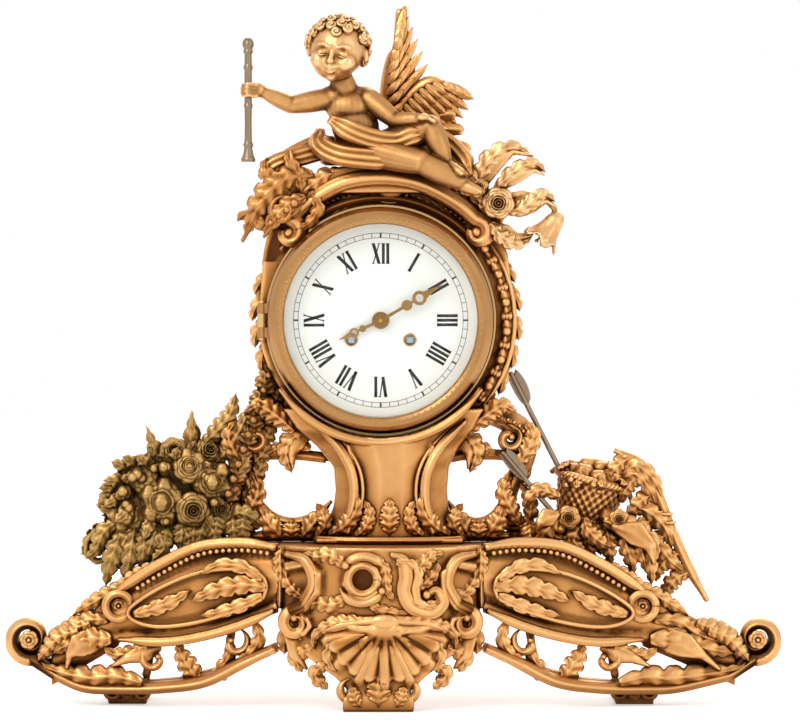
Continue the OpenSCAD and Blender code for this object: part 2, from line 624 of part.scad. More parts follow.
// The casting round the dial: plate, hood, arch, bands and scalloped edge
module dial_surround() color("goldenrod") placed() {
    right_n = 11;
    difference() {
        union() {
            // Plate with shoulders under the arch
            slab(0, surround_t) {
                at2(centre_p) circle(surround_left);
                intersection() {
                    at2(centre_p) circle(surround_right);
                    translate([0, seat_z]) square([100, 90]);
                }
                polygon(concat([[-surround_left, dial_z]],
                    curve([-60, dial_z + 34], [-60, dial_z + 60], [-40, figure_z - 4],
                        [-14, figure_z], 8),
                    curve([14, figure_z], [40, figure_z - 3], [58, dial_z + 62],
                        [surround_right - 4, dial_z + 34], 8),
                    [[surround_right, dial_z]]));
            }
            // Hood that wraps the drum
            at(centre_p) rod(drum_r + 5, surround_t - 1, surround_t + 24);
            // Deck that carries the figure
            slab(-6, 34) polygon(concat([[-34, figure_z - 14]],
                curve([-34, figure_z - 6], [-24, figure_z], [-18, figure_z], [-14, figure_z], 3),
                curve([22, figure_z], [28, figure_z], [36, figure_z - 4], [36, figure_z - 10], 3),
                [[36, figure_z - 14]]));
            arch_scroll(0);
            moulding([for (a = [35 : 10 : 145])
                [62.5 * cos(a), 0, dial_z + 62.5 * sin(a)]], [1.8, 2.2, 1.8], [2.5, 3, 2.5]);
            // Oval boss in the panel
            ball([5, 0, dial_z + 64.5], 4, [1.6, 0.6, 1]);
            // Right-hand band of husks and beads
            for (i = [0 : right_n - 1]) let (a = -36 + i * 6.8, q = i % 2)
                translate([64.2 * cos(a), 0, dial_z + 64.2 * sin(a)]) rotate([0, -a, 0])
                    hull() {
                        ball([0, -0.5, -1.4], 1.7 + q);
                        ball([0, -1.5, 1.2], 1.2 + q);
                    }
            // Left-hand moulding, kept behind the swing of the bezel
            moulding([for (a = [150 : 8 : 222])
                [60.8 * cos(a), 2.4, dial_z + 60.8 * sin(a)]], [1.2, 1.8, 1.2], [2, 2.6, 2]);
            // Scalloped leaf edge
            for (a = [152 : 17 : 222]) leaf(
                curve([58 * cos(a - 5), dial_z + 58 * sin(a - 5)],
                    [61 * cos(a - 3), dial_z + 61 * sin(a - 3)],
                    [64 * cos(a), dial_z + 64 * sin(a)],
                    [65 * cos(a + 4), dial_z + 65 * sin(a + 4)], 4), 5, 6, 1);
            for (a = [-36 : 16 : 28]) leaf(
                curve([62 * cos(a + 5), dial_z + 62 * sin(a + 5)],
                    [66 * cos(a + 3), dial_z + 66 * sin(a + 3)],
                    [70 * cos(a), dial_z + 70 * sin(a)],
                    [71 * cos(a - 4), dial_z + 71 * sin(a - 4)], 4), 5, 6, 1);
        }
        at(centre_p) {
            rod(bore_r, -0.01, 200);
            rod(bezel_r + 1.6, -100, 0.01);
        }
        // Recessed panel between the bezel and the arch
        slab(-1, 3) difference() {
            intersection() {
                at2([2, dial_z + 20]) circle(51);
                translate([-50, dial_z + 30]) square([100, 60]);
            }
            at2(centre_p) circle(64);
            at2([5, dial_z + 64.5]) circle(6);
        }
        translate([-200, -200, seat_z - 400]) cube(400);
        translate([-200, -200, figure_z]) cube(400);
        for (s = [-1, 1]) translate([s * bolt_seat_x, surround_t / 2, seat_z - 1])
            cylinder(r = bolt_r + fit, h = 8, $fn = 16);
    }
}
module at2(p) {
    translate(p) children();
}

module case_drum() color("darkgoldenrod") placed() at(centre_p)
    ring(drum_r - drum_wall, drum_r, 0, drum_back - rear_ring_t - 0.2);

// A stem of leaves bolted flat to the left shoulder
module acanthus_left() color("darkgoldenrod") placed() {
    difference() {
        union() {
            hull() {
                translate([-44, 0, dial_z + 58]) ball([0, 0, 0], 5);
                translate([-56, 0, dial_z + 49]) ball([0, 0, 0], 4);
            }
            leaf(curve([-36, dial_z + 74], [-50, dial_z + 72], [-62, dial_z + 58],
                [-71, dial_z + 40], 9), 9, -3, 5, 2.4);
            leaf(curve([-38, dial_z + 62], [-46, dial_z + 60], [-54, dial_z + 52],
                [-60, dial_z + 42], 7), 6, -6, 4);
            leaf(curve([-44, dial_z + 60], [-54, dial_z + 68], [-60, dial_z + 76],
                [-58, dial_z + 82], 7), 6, -4, 3);
            leaf(curve([-40, dial_z + 64], [-42, dial_z + 74], [-48, dial_z + 82],
                [-46, dial_z + 88], 6), 5, -5, 3);
            moulding(on_depth(spiral([-50, dial_z + 56], [8, 2.5], [40, 420], 14), -5),
                [2, 2.4, 1.4], [3, 3, 2]);
            for (i = [0 : 2]) limb([-44 - i * 4.2, -7, dial_z + 60 - i * 3.4], 2.1 - i * 0.2,
                [-45 - i * 2.6, -8, dial_z + 59 - i * 3.4], 1.8 - i * 0.2);
        }
        translate([-200, 0, 0]) cube(500);
        arch_scroll(2 * fit);
    }
}

// Leaves, a rose and a hanging bell flower on the right shoulder
module flower_spray_right() color("goldenrod") placed() {
    bloom = [86, dial_z + 47];
    bell_lean = 38;
    bloom_top = bloom + 8.5 * [sin(bell_lean), cos(bell_lean)];
    difference() {
        union() {
            hull() {
                translate([48, 0, dial_z + 62]) ball([0, 0, 0], 5);
                translate([60, 0, dial_z + 52]) ball([0, 0, 0], 4);
            }
            moulding([for (p = curve([50, dial_z + 58], [62, dial_z + 64], [84, dial_z + 72],
                bloom_top, 8)) [p[0], -5, p[1]]], [2.4, 1.8, 1.5], [2.4, 1.8, 1.5]);
            leaf(curve([48, dial_z + 63], [52, dial_z + 80], [64, dial_z + 92],
                [78, dial_z + 84], 8), 6.5, -4, 5);
            leaf(curve([58, dial_z + 66], [68, dial_z + 76], [78, dial_z + 80],
                [84, dial_z + 74], 7), 5, -6, 3);
            leaf(curve([62, dial_z + 56], [72, dial_z + 56], [84, dial_z + 66],
                [90, dial_z + 58], 7), 6, -4, 3);
            leaf(curve([56, dial_z + 50], [62, dial_z + 42], [70, dial_z + 40],
                [78, dial_z + 44], 6), 6, -4, 3);
            // Bell flower
            translate([bloom[0], -6, bloom[1]]) rotate([0, bell_lean, 0]) {
                rotate_extrude($fn = 14) polygon([[0, 10], [2.5, 9.6], [4.6, 6], [5.6, 0],
                    [8.6, -7], [7.2, -6.4], [4, -1], [0, 3]]);
                for (i = [0 : 4]) rotate(i * 72) limb([5.6, 0, -3], 1.4, [9.4, 0, -8], 1.1);
            }
            // Rose
            rose([60, -6, dial_z + 60], 8);
            limb([60, -3, dial_z + 60], 5, [54, -2, dial_z + 56], 4);
        }
        translate([-200, 0, 0]) cube([200 + surround_right + 1.5, 400, 500]);
        translate([surround_right + 1.4, 6, 0]) cube([100, 400, 500]);
        arch_scroll(2 * fit);
    }
}

// The seated child, leaning to the left with one arm held out to the staff
module putto() color("goldenrod") placed() {
    z = figure_z;
    head = [-22, 0, z + head_rise];
    difference() {
        union() {
            ball(head, head_r, [0.98, 1, 1.08]);
            // Curls, cheeks and chin
            for (i = [0 : 6]) let (a = 10 + i * 27) ball(head + 12.4 * [cos(a), -0.05, sin(a)], 5.2);
            ball(head + [0, 5, 6], 12);
            ball(head + [-2, -11.5, -6], 5.4);
            limb([-21, 3, z + 42], 6, [-17, 5, z + 36], 9);
            limb([-17, 5, z + 32], 13, [-11, 7, z + 15], 12.5);
            limb([-11, 7, z + 13], 13, [3, 8, z + 9], 11);
            // Arm that holds the staff
            limb([-27, 4, z + 34], 6, [-46, 0, z + 31], 4.4);
            limb([-46, 0, z + 31], 4.3, [-62, -3, z + 38.5], 3.2);
            // Arm that rests on the knee
            limb([-6, 2, z + 34], 5.8, [8, -5, z + 23], 4.4);
            limb([8, -5, z + 23], 4.2, [20, -13, z + 24], 3.2);
            // Legs
            limb([6, 1, z + 10], 9.6, [26, -10, z + 20], 6.6);
            limb([26, -10, z + 20], 6, [33, -13, z + 2], 4);
            limb([33, -13, z + 1], 4, [40, -19, z - 3], 3);
            limb([-8, -4, z + 8], 9, [22, -16, z + 1], 6.4);
            limb([22, -16, z + 1], 6, [42, -17, z - 9], 4);
            limb([42, -17, z - 9], 4, [51, -20, z - 13], 3);
            // Seat of drapery
            hull() {
                translate([-30, -5, z]) cube([62, 34, 3]);
                ball([-16, 12, z + 8], 10);
                ball([20, 11, z + 8], 8);
            }
            for (i = [0 : 3]) limb([-24 + i * 10, -5, z + 4 - i], 3.2, [2 + i * 10, -7, z + 5], 3);
        }
        // The seat is flat, and the legs that hang over it stay before the surround
        translate([-60, -10.2, z - 40]) cube([130, 100, 40]);
        hand_bore();
    }
}
staff_x = -67.6;
staff_y = -3;
module hand_bore() {
    translate([staff_x, staff_y, 0]) cylinder(r = staff_r + fit, h = 500, $fn = 16);
}
module staff() color("goldenrod") placed() translate([staff_x, staff_y, figure_z + 2]) {
    foot_h = 7;
    rotate_extrude() polygon([
        [0, 0], [staff_r + 2.4, 0], [staff_r + 3, 2.5], [staff_r + 1, foot_h],
        [staff_r, foot_h + 3], [staff_r, staff_len - 16], [staff_r + 1.4, staff_len - 14],
        [staff_r + 1.4, staff_len - 12], [staff_r, staff_len - 10],
        [staff_r + 1.2, staff_len - 2], [0, staff_len]
    ]);
}

// Wings: one upright, one folded behind the raised knee
module wings() color("goldenrod") placed() {
    z = figure_z;
    root = [7, 26, z + 24];
    for (i = [0 : 3]) let (x = i * 2.6)
        limb(root + [x, 0, 0], 3.4, [13.5 + x * 0.8 - 4, 24, z + wing_rise - 4 - i * 9], 2.2);
    limb(root, 4, [12.4, 24, z + wing_rise - 2], 1.6);
    for (i = [0 : 6])
        limb(root + [3, 0, 1 - i], 4, [22 + i * 3.6, 22, z + 41 - i * i * 0.9], 3.4);
    // Foot bolted on the deck behind the figure
    translate([-2, 30, z]) cube([14, 4, 4]);
    limb([5, 32.6, z + 3], 3, root + [0, 2, 0], 3.4);
}

// Flowers and pointed leaves heaped on the left arm
module rose(p, r, squash = 0.7) {
    for (i = [0 : 4]) let (a = i * 72 + p[0] * 7)
        ball(p + 0.62 * r * [cos(a), squash * 0.3, sin(a)], r * 0.5);
    ball(p - [0, r * 0.35, 0], r * 0.46);
}
module bouquet_left() color("darkolivegreen") placed() {
    seat = base_h + boss_rise;
    difference() {
        union() {
            // Stalks gathered on the boss
            translate([-boss_xs[1], boss_y, seat]) cylinder(r = 5, h = 8, $fn = 16);
            hull() {
                ball([-100, boss_y, seat + 12], 11);
                ball([-122, boss_y - 6, seat + 12], 13);
                ball([-90, boss_y - 2, seat + 24], 12);
            }
            rose([-86, boss_y - 18, seat + 26], 11);
            rose([-112, boss_y - 20, seat + 16], 12);
            rose([-130, boss_y - 14, seat + 8], 10);
            rose([-98, boss_y - 20, seat + 34], 9);
            for (q = [[-97, 62], [-120, 54], [-82, 57], [-136, 34], [-146, 14], [-108, 44]])
                limb([(q[0] - 100) / 2, boss_y - 10, seat + q[1] * 0.5], 5,
                    [q[0], boss_y - 12, seat + q[1]], 0.9);
            limb([-126, boss_y - 8, seat - 2], 6, [-148, boss_y - 6, seat - 6], 3);
            moulding(on_depth(spiral([-144, seat - 8], [8.5, 7], [60, 400], 14),
                boss_y - 10), [2.4, 2.6, 1.6], [3, 3, 2]);
        }
        translate([-200, -100, -1]) cube([200 - boss_xs[1] + 12, 300, base_h + boss_rise + 1 - 22]);
        translate([-boss_xs[1] - 30, -100, -1]) cube([60, 300, seat + 1]);
    }
}

// Basket of the right-hand trophy, with fruit and a bow beside it
module basket_trophy_right() color("goldenrod") placed() {
    seat = base_h + boss_rise;
    centre = [boss_xs[1] + 4, boss_y, seat + 5];
    bow = curve([120, seat + 42], [142, seat + 34], [146, seat + 4], [168, seat - 36], 12);
    lean = 14;
    staves = 12;
    difference() {
        union() {
            translate([boss_xs[1], boss_y, seat]) cylinder(r = 5, h = 8, $fn = 16);
            translate(centre) rotate([0, lean, 0]) {
                linear_extrude(basket_h * 0.72, scale = 1.4) polygon([
                    for (i = [0 : 2 * staves - 1]) (basket_r * 0.68 - (i % 2) * 1.8)
                        * [cos(i * 180 / staves), sin(i * 180 / staves)]]);
                translate([0, 0, basket_h * 0.72]) rotate_extrude($fn = 16)
                    translate([basket_r * 0.94, 0]) circle(2.4, $fn = 6);
                for (i = [0 : 4]) ball([11 * cos(i * 72 + 20), 11 * sin(i * 72 + 20),
                    basket_h * 0.78], 6.4);
                ball([0, 0, basket_h * 0.86], 8);
            }
            // Bow that lies against the basket and slants down to the arm
            moulding(on_depth(bow, boss_y - 10), [1.6, 3, 1.6], [2, 3, 2]);
            limb([118, boss_y - 3, seat + 25], 5.6, [bow[2][0], boss_y - 10, bow[2][1]], 3.2);
            leaf(curve([92, seat + 10], [84, seat + 9], [80, seat + 6], [80, seat + 1], 6), 6,
                boss_y - 24, 3);
            leaf(curve([118, seat + 4], [132, seat + 2], [142, seat - 6], [140, seat - 16], 6),
                7, boss_y - 22, 3);
            limb([96, boss_y - 12, seat + 8], 5, [92, boss_y - 22, seat + 2], 3);
            limb([116, boss_y - 12, seat + 8], 5, [122, boss_y - 21, seat + 2], 3);
        }
        translate([boss_xs[1] - 30, boss_y - 17, -1]) cube([44, 80, seat + 1]);
        arrow_bores();
    }
}
// Two arrows rest in the basket
arrow_r = 1.5;
arrow_lean = [-27, -40];
arrow_foot = [[96, boss_y - 6, 24], [93.5, boss_y - 20.5, 4]];
arrow_len = [66, 50];
module arrow_place(i) {
    translate(arrow_foot[i] + [0, 0, base_h + boss_rise])
        rotate([0, arrow_lean[i], 0]) children();
}
module arrow_bores() {
    for (i = [0, 1]) arrow_place(i) translate([0, 0, -fit])
        cylinder(r = arrow_r + fit, h = 200, $fn = 16);
}
module trophy_arrows() color("dimgray") placed() for (i = [0, 1]) arrow_place(i) {
    cylinder(r = arrow_r, h = arrow_len[i]);
    for (k = [0 : 2]) rotate(k * 120)
        translate([0, -0.4, arrow_len[i] - 20]) cube([5, 0.8, 18]);
}

// Fixed ring between drum and bezel, with its hinge knuckle
knuckle_r = 2.4;
knuckle_h = 3.5;
hinge_x = -(bezel_r + 2.6);
hinge_y = -ring_rim - 2.5;
module knuckle(x, y, low, high) {
    translate([x, y, dial_z + low]) cylinder(r = knuckle_r, h = high - low);
}
module pin_bore(x, y) {
    translate([x, y, dial_z - 20]) cylinder(r = hinge_pin_r + running, h = 40);
}
spigot_r = drum_r - drum_wall - fit;
spigot_t = 0.6;
module front_ring() color("gold") placed() difference() {
    union() {
        at(centre_p) {
            turned([
                [45, -ring_t], [dial_r + fit, -ring_t], [dial_r + fit, -ring_rim],
                [bezel_r + 1, -ring_rim], [bezel_r + 1, 0], [spigot_r, 0],
                [spigot_r, 6], [spigot_r - spigot_t, 6], [spigot_r - spigot_t, 0], [45, 0]
            ]);
        }
        knuckle(hinge_x, hinge_y, -knuckle_h, knuckle_h);
        translate([hinge_x - 1.2, hinge_y + 1, dial_z - knuckle_h])
            cube([3.4, -hinge_y - 1, 2 * knuckle_h]);
    }
    pin_bore(hinge_x, hinge_y);
}
glass_front = bezel_front + 2.4;
glass_back = glass_front + glass_t;
glass_r = dial_sight_r + 3;
module bezel() color("darkgoldenrod") placed() difference() {
    union() {
        at(centre_p) turned(concat(
            [[glass_r + fit, bezel_back], [bezel_r, bezel_back]],
            curve([bezel_r, bezel_back - 4], [bezel_r, bezel_front + 3],
                [bezel_r - 2, bezel_front + 1], [bezel_r - 4, bezel_front], 5),
            curve([dial_sight_r + 2.2, bezel_front], [dial_sight_r + 1, bezel_front + 0.2],
                [dial_sight_r, bezel_front + 0.8], [dial_sight_r, bezel_front + 1.4], 3),
            [[dial_sight_r, glass_front], [glass_r + fit, glass_front]]));
        for (s = [-1, 1]) let (low = s < 0 ? -8.7 : knuckle_h + 0.2, high = low + 5) {
            knuckle(hinge_x, hinge_y, low, high);
            translate([hinge_x - 0.9, hinge_y - 2, dial_z + low]) cube([5, 3.9, 5]);
        }
    }
    pin_bore(hinge_x, hinge_y);
}
module sight_ring() color("gold") placed() at(centre_p) turned([
    [dial_sight_r + 0.8, glass_back], [glass_r, glass_back],
    [glass_r, bezel_back - 0.1], [dial_sight_r, bezel_back - 0.1]
]);
module bezel_glass() color("lightcyan", 0.3) placed() at(centre_p)
    rod(glass_r, glass_front, glass_back);
module bezel_hinge_pin() color("gold") placed()
    translate([hinge_x, hinge_y, dial_z - 9.2]) {
        cylinder(r = hinge_pin_r, h = 18.4);
        translate([0, 0, 18.2]) cylinder(r = hinge_pin_r + 0.7, h = 1);
        translate([0, 0, -0.8]) cylinder(r = hinge_pin_r + 0.7, h = 1);
    }
wind_hole_r = wind_square * 0.71 + 0.6;
hour_pipe_r = 2.8;
cannon_r = 1.9;
centre_r = 1;
module dial() color("white") placed() difference() {
    at(centre_p) rod(dial_r, dial_front, dial_back);
    at(centre_p) rod(hour_pipe_r + 0.8, -100, 100);
    at(going_p) rod(wind_hole_r, -100, 100);
    at(strike_p) rod(wind_hole_r, -100, 100);
}

// Hands, set at ten past eight
hour_a = 30 * (8 + 10 / 60);
minute_a = 60;
hand_t = 0.8;
hour_hand_y = dial_front - 2.5;
minute_hand_y = hour_hand_y - 2.2;
// A pierced hand: hub, slim neck, two scrolled eyes and a pointed tip
module hand_outline(len, hub, bore) {
    difference() {
        union() {
            circle(hub);
            polygon([[-0.9, 0], [0.9, 0], [0.6, len * 0.8], [-0.6, len * 0.8]]);
            translate([0, len * 0.42]) circle(len * 0.075);
            translate([0, len * 0.62]) circle(len * 0.1);
            polygon(concat([[-len * 0.055, len * 0.7]],
                curve([len * 0.055, len * 0.7], [0.7, len * 0.8], [0.5, len * 0.9], [0, len], 5)));
        }
        circle(bore);
        translate([0, len * 0.62]) circle(len * 0.055);
    }
}
module minute_hand() color("gold") placed() at(centre_p)
    slab(minute_hand_y, minute_hand_y + hand_t) rotate(-minute_a)
        hand_outline(minute_len, 3.2, cannon_r + running);
module hour_hand() color("gold") placed() at(centre_p)
    slab(hour_hand_y, hour_hand_y + hand_t) rotate(-hour_a)
        hand_outline(hour_len, 4.4, hour_pipe_r + running);
module hand_collet() color("gold") placed() at(centre_p)
    ring(centre_r + running, 2.4, minute_hand_y - 1.2, minute_hand_y);

// Motion work between dial and front plate
minute_wheel_y = front_plate_y - 2.2;
hour_wheel_y = minute_wheel_y - 3.2;
module cannon_pinion() color("silver") placed() at(centre_p) difference() {
    union() {
        rod(cannon_r, minute_hand_y, front_plate_y - 0.3);
        slab(minute_wheel_y - 0.2, front_plate_y - 0.6)
            pinion_leaves(cannon_n, cannon_m, aim(centre_p, minute_p));
    }
    rod(centre_r + running, -50, 50);
}
module minute_wheel() color("gold") placed() at(minute_p) difference() {
    union() {
        slab(minute_wheel_y, minute_wheel_y + 1.4)
            wheel_teeth(minute_n, cannon_m, aim(minute_p, centre_p));
        slab(hour_wheel_y - 0.4, minute_wheel_y + 0.1)
            pinion_leaves(minute_pinion_n, hour_m, aim(minute_p, centre_p));
    }
    rod(stud_r + running, -50, 50);
}
stud_r = 1;
module hour_wheel() color("gold") placed() at(centre_p) difference() {
    union() {
        rod(hour_pipe_r, hour_hand_y, minute_wheel_y - 0.4);
        slab(hour_wheel_y, hour_wheel_y + 1.2)
            wheel_teeth(hour_n, hour_m, aim(centre_p, minute_p));
    }
    rod(cannon_r + running, -50, 50);
}

// Plates, pillars and what ties the movement to the case
barrel_shaft_r = 2;
pillar_end_r = 1.6;
module plate_holes(front) {
    at(centre_p) rod((front ? centre_r : pivot_r) + running, -50, 100);
    for (p = [second_p, third_p, escape_p, strike_second_p, pin_p, fly_p])
        at(p) rod(pivot_r + running, -50, 100);
    for (p = [pallet_p, hammer_p])
        at(p) rod((front ? pivot_r : arbor_r) + running, -50, 100);
    for (p = [going_p, strike_p]) at(p) rod(barrel_shaft_r + running, -50, 100);
    for (a = pillar_angles) at(around(pillar_reach, a)) rod(pillar_end_r + running, -50, 100);
}
module front_plate() color("gold") placed() {
    difference() {
        at(centre_p) rod(front_plate_r, front_plate_y, train_y);
        plate_holes(true);
    }
    at(minute_p) rod(stud_r, hour_wheel_y - 1.2, front_plate_y + 0.01);
}
module back_plate() color("gold") placed() difference() {
    at(centre_p) rod(back_plate_r, back_plate_y, behind_y);
    plate_holes(false);
    at(strike_second_p) rod(arbor_r + running, -50, 100);
}
module plate_pillars() color("gold") placed()
    for (a = pillar_angles) at(around(pillar_reach, a)) {
        turned([[0, train_y], [pillar_r, train_y], [pillar_r, train_y + 3],
            [pillar_r - 0.6, train_y + 5], [pillar_r - 0.6, back_plate_y - 5],
            [pillar_r, back_plate_y - 3], [pillar_r, back_plate_y], [0, back_plate_y]]);
        rod(pillar_end_r, front_plate_y + 0.4, train_y + 0.01);
        rod(pillar_end_r, back_plate_y - 0.01, behind_y + 0.8);
    }
module movement_posts() color("gold") placed()
    for (a = post_angles) at(around(post_reach, a)) rod(post_r, 0, front_plate_y);

strap_t = 1.6;
strap_w = 9;
strap_x = front_plate_r + 1.1;
strap_lug = 5.4;
screw_r = 1.2;
screw_x = strap_x - 1.6;
lug_y = rear_ring_front - 6;
module case_straps() color("gold") placed() for (s = [-1, 1]) difference() {
    union() {
        translate([s > 0 ? strap_x : -strap_x - strap_t, 0, dial_z - strap_w / 2])
            cube([strap_t, rear_ring_front, strap_w]);
        translate([s > 0 ? strap_x - strap_lug : -strap_x, lug_y, dial_z - strap_w / 2])
            cube([strap_lug, rear_ring_front - lug_y, strap_w]);
    }
    at([s * screw_x, dial_z]) rod(screw_r + running, 0, 200);
}
module strap_screws() color("silver") placed() for (s = [-1, 1]) at([s * screw_x, dial_z]) {
    rod(screw_r, lug_y + 0.5, drum_back - 1.4);
    difference() {
        rod(2.1, drum_back - 1.45, drum_back - 0.2);
        translate([-3, drum_back - 0.7, -0.3]) cube([6, 1, 0.6]);
    }
}

// Barrels, springs and winding arbors
barrel_in_r = barrel_n * barrel_m / 2 - 1.25 * barrel_m - 1.4;
module barrel(p, mate) at(p) difference() {
    union() {
        ring(0.01, barrel_in_r + 0.8, barrel_front, barrel_back);
        slab(barrel_teeth_y, barrel_teeth_y + 1.6) wheel_teeth(barrel_n, barrel_m, aim(p, mate));
    }
    rod(barrel_in_r, barrel_front + 1.2, barrel_back - 1);
    rod(barrel_shaft_r + running, 0, 100);
}
module going_barrel() color("gold") placed() barrel(going_p, second_p);
module strike_barrel() color("gold") placed() barrel(strike_p, strike_second_p);
module mainspring(p) {
    turns = 5;
    steps = 100;
    outer_r = barrel_in_r - 0.3;
    inner_r = barrel_hub_r + 0.3;
    strip = 0.5;
    function r_at(i) = mix(outer_r, inner_r + strip, i / steps);
    at(p) slab(barrel_front + 1.6, barrel_back - 1.4) polygon(concat(
        [for (i = [0 : steps]) r_at(i) * [cos(i * 360 * turns / steps),
            sin(i * 360 * turns / steps)]],
        [for (i = [steps : -1 : 0]) (r_at(i) - strip) * [cos(i * 360 * turns / steps),
            sin(i * 360 * turns / steps)]]));
}
barrel_hub_r = 3.4;
module going_spring() color("dimgray") placed() mainspring(going_p);
module strike_spring() color("dimgray") placed() mainspring(strike_p);
ratchet_r = 6.4;
ratchet_y = front_plate_y - 2.4;
module winding_arbor(p) at(p) {
    rod(barrel_shaft_r, ratchet_y, back_plate_y - 0.2);
    rod(barrel_shaft_r - 0.02, back_plate_y - 0.25, behind_y - 0.2);
    rod(barrel_hub_r, barrel_front + 1.5, barrel_back - 1.3);
    slab(ratchet_y, ratchet_y + 1.6) polygon([
        for (i = [0 : 17]) each [
            ratchet_r * [cos(i * 20), sin(i * 20)],
            (ratchet_r - 1.1) * [cos(i * 20 + 3), sin(i * 20 + 3)]
        ]
    ]);
    translate([-wind_square / 2, dial_front - 1.6, -wind_square / 2])
        cube([wind_square, ratchet_y - dial_front + 1.7, wind_square]);
}
module going_arbor() color("silver") placed() winding_arbor(going_p);
module strike_arbor() color("silver") placed() winding_arbor(strike_p);
// Each click stands on the front plate, its nose at the ratchet teeth
module clicks() color("gold") placed() for (s = [-1, 1]) let (
        p = [s * (wind_x + 9.6), dial_z - wind_drop - 6],
        nose = [s * wind_x, dial_z - wind_drop] + (ratchet_r + 0.25) * [s * cos(-20), sin(-20)]) {
    at(p) rod(1.9, ratchet_y, front_plate_y);
    slab(ratchet_y, ratchet_y + 1.6)
        polygon(s > 0
            ? [p + [1.6, 0], p + [0.6, 1.6], nose + [0.9, 0.8], nose, p + [-1.6, -0.6]]
            : [p + [-1.6, 0], p + [1.6, -0.6], nose, nose + [-0.9, 0.8], p + [-0.6, 1.6]]);
}

// Going train
module pinion(n, m, aim_a, front, back) slab(front, back) pinion_leaves(n, m, aim_a);
module intermediate_wheel() color("gold") placed() at(second_p) {
    arbor();
    pinion(second_pinion_n, barrel_m, aim(second_p, going_p), train_y + 2.2, train_y + 5.6);
    crossed_wheel(second_n, second_m, aim(second_p, centre_p), second_wheel_y,
        second_wheel_y + wheel_t, 2.4);
}
module centre_wheel() color("gold") placed() at(centre_p) {
    rod(centre_r, minute_hand_y - 2, back_plate_y - 0.15);
    rod(pivot_r, back_plate_y - 1, behind_y - 0.3);
    pinion(centre_pinion_n, second_m, aim(centre_p, second_p), second_wheel_y - 1,
        second_wheel_y + wheel_t + 1);
    crossed_wheel(centre_n, centre_m, aim(centre_p, third_p), centre_wheel_y,
        centre_wheel_y + wheel_t, 2.4);
}
module third_wheel() color("gold") placed() at(third_p) {
    arbor(centre_wheel_y, neck(third_pinion_n, centre_m));
    pinion(third_pinion_n, centre_m, aim(third_p, centre_p), centre_wheel_y - 1,
        centre_wheel_y + wheel_t + 1);
    crossed_wheel(third_n, third_m, aim(third_p, escape_p), third_wheel_y,
        third_wheel_y + wheel_t, 2);
}
escape_r = 8;
module escape_wheel() color("gold") placed() at(escape_p) {
    arbor(third_wheel_y, neck(escape_pinion_n, third_m));
    pinion(escape_pinion_n, third_m, aim(escape_p, third_p), third_wheel_y - 1,
        third_wheel_y + wheel_t + 1);
    slab(escape_y, escape_y + 1) difference() {
        polygon([for (i = [0 : escape_n - 1]) let (a = i * 360 / escape_n) each [
            (escape_r - 1.5) * [cos(a), sin(a)],
            escape_r * [cos(a + 3), sin(a + 3)],
            (escape_r - 1.3) * [cos(a + 4), sin(a + 4)]]]);
        difference() {
            circle(escape_r - 2.4);
            circle(1.9);
            for (i = [0 : 3]) rotate(i * 90) translate([0, -0.5]) square([escape_r - 2, 1]);
        }
    }
}
crutch_y = behind_y + 1;
rod_y = behind_y + 5;
rod_r = 1.1;
crutch_drop = 25;
module pallets() color("silver") placed() {
    arm = [6.6, escape_p[1] - pallet_p[1] + 7.4];
    at(pallet_p) {
        rod(arbor_r, train_y + 0.15, crutch_y + 1.2);
        rod(pivot_r, front_plate_y + 0.3, train_y + 1);
        slab(escape_y - 0.2, escape_y + 1.2) {
            circle(2.2);
            for (s = [-1, 1]) polygon(s > 0
                ? [[0, 2], [arm[0] + 0.6, arm[1] + 1.6], [arm[0] - 0.6, arm[1] - 0.2],
                   [arm[0] - 1.4, arm[1] + 0.9], [0, -1.8]]
                : [[0, 2], [0, -1.8], [-arm[0] + 1.4, arm[1] + 0.9],
                   [-arm[0] + 0.6, arm[1] - 0.2], [-arm[0] - 0.6, arm[1] + 1.6]]);
        }
        // Crutch with its fork behind the back plate
        rod(1.8, crutch_y, crutch_y + 1.2);
        translate([-0.8, crutch_y, -crutch_drop]) cube([1.6, 1.2, crutch_drop]);
        translate([-2.6, crutch_y, -crutch_drop - 1]) cube([5.2, 1.2, 1.8]);
        for (s = [-1, 1]) translate([s * (rod_r + 0.8), 0, -crutch_drop])
            rod(0.6, crutch_y + 0.5, rod_y + 2);
    }
}

// Striking train, hammer, bell and count wheel
module strike_second_wheel() color("gold") placed() at(strike_second_p) {
    rod(arbor_r, train_y + 0.15, behind_y + 0.5);
    rod(pivot_r, front_plate_y + 0.3, train_y + 1);
    rod(pivot_r, behind_y, behind_y + 2.4);
    pinion(second_pinion_n, barrel_m, aim(strike_second_p, strike_p), train_y + 2.2,
        train_y + 5.6);
    crossed_wheel(strike_second_n, second_m, aim(strike_second_p, pin_p), second_wheel_y,
        second_wheel_y + wheel_t, 2.2);
}
pin_ring_r = 7;
module pin_wheel() color("gold") placed() at(pin_p) {
    arbor();
    pinion(pin_pinion_n, second_m, aim(pin_p, strike_second_p), second_wheel_y - 1,
        second_wheel_y + wheel_t + 1);
    slab(pin_wheel_y, pin_wheel_y + wheel_t) wheel_teeth(pin_n, pin_m, aim(pin_p, fly_p));
    for (i = [0 : 9]) at(pin_ring_r * [cos(i * 36), sin(i * 36)])
        rod(0.5, pin_wheel_y + 0.5, pin_wheel_y + wheel_t + 2);
}
module fly() color("silver") placed() at(fly_p) {
    arbor(pin_wheel_y, neck(fly_pinion_n, pin_m));
    pinion(fly_pinion_n, pin_m, aim(fly_p, pin_p), pin_wheel_y - 1, pin_wheel_y + wheel_t + 1);
    translate([-7.8, train_y + 13, -0.4]) cube([15.6, 8, 0.8]);
}
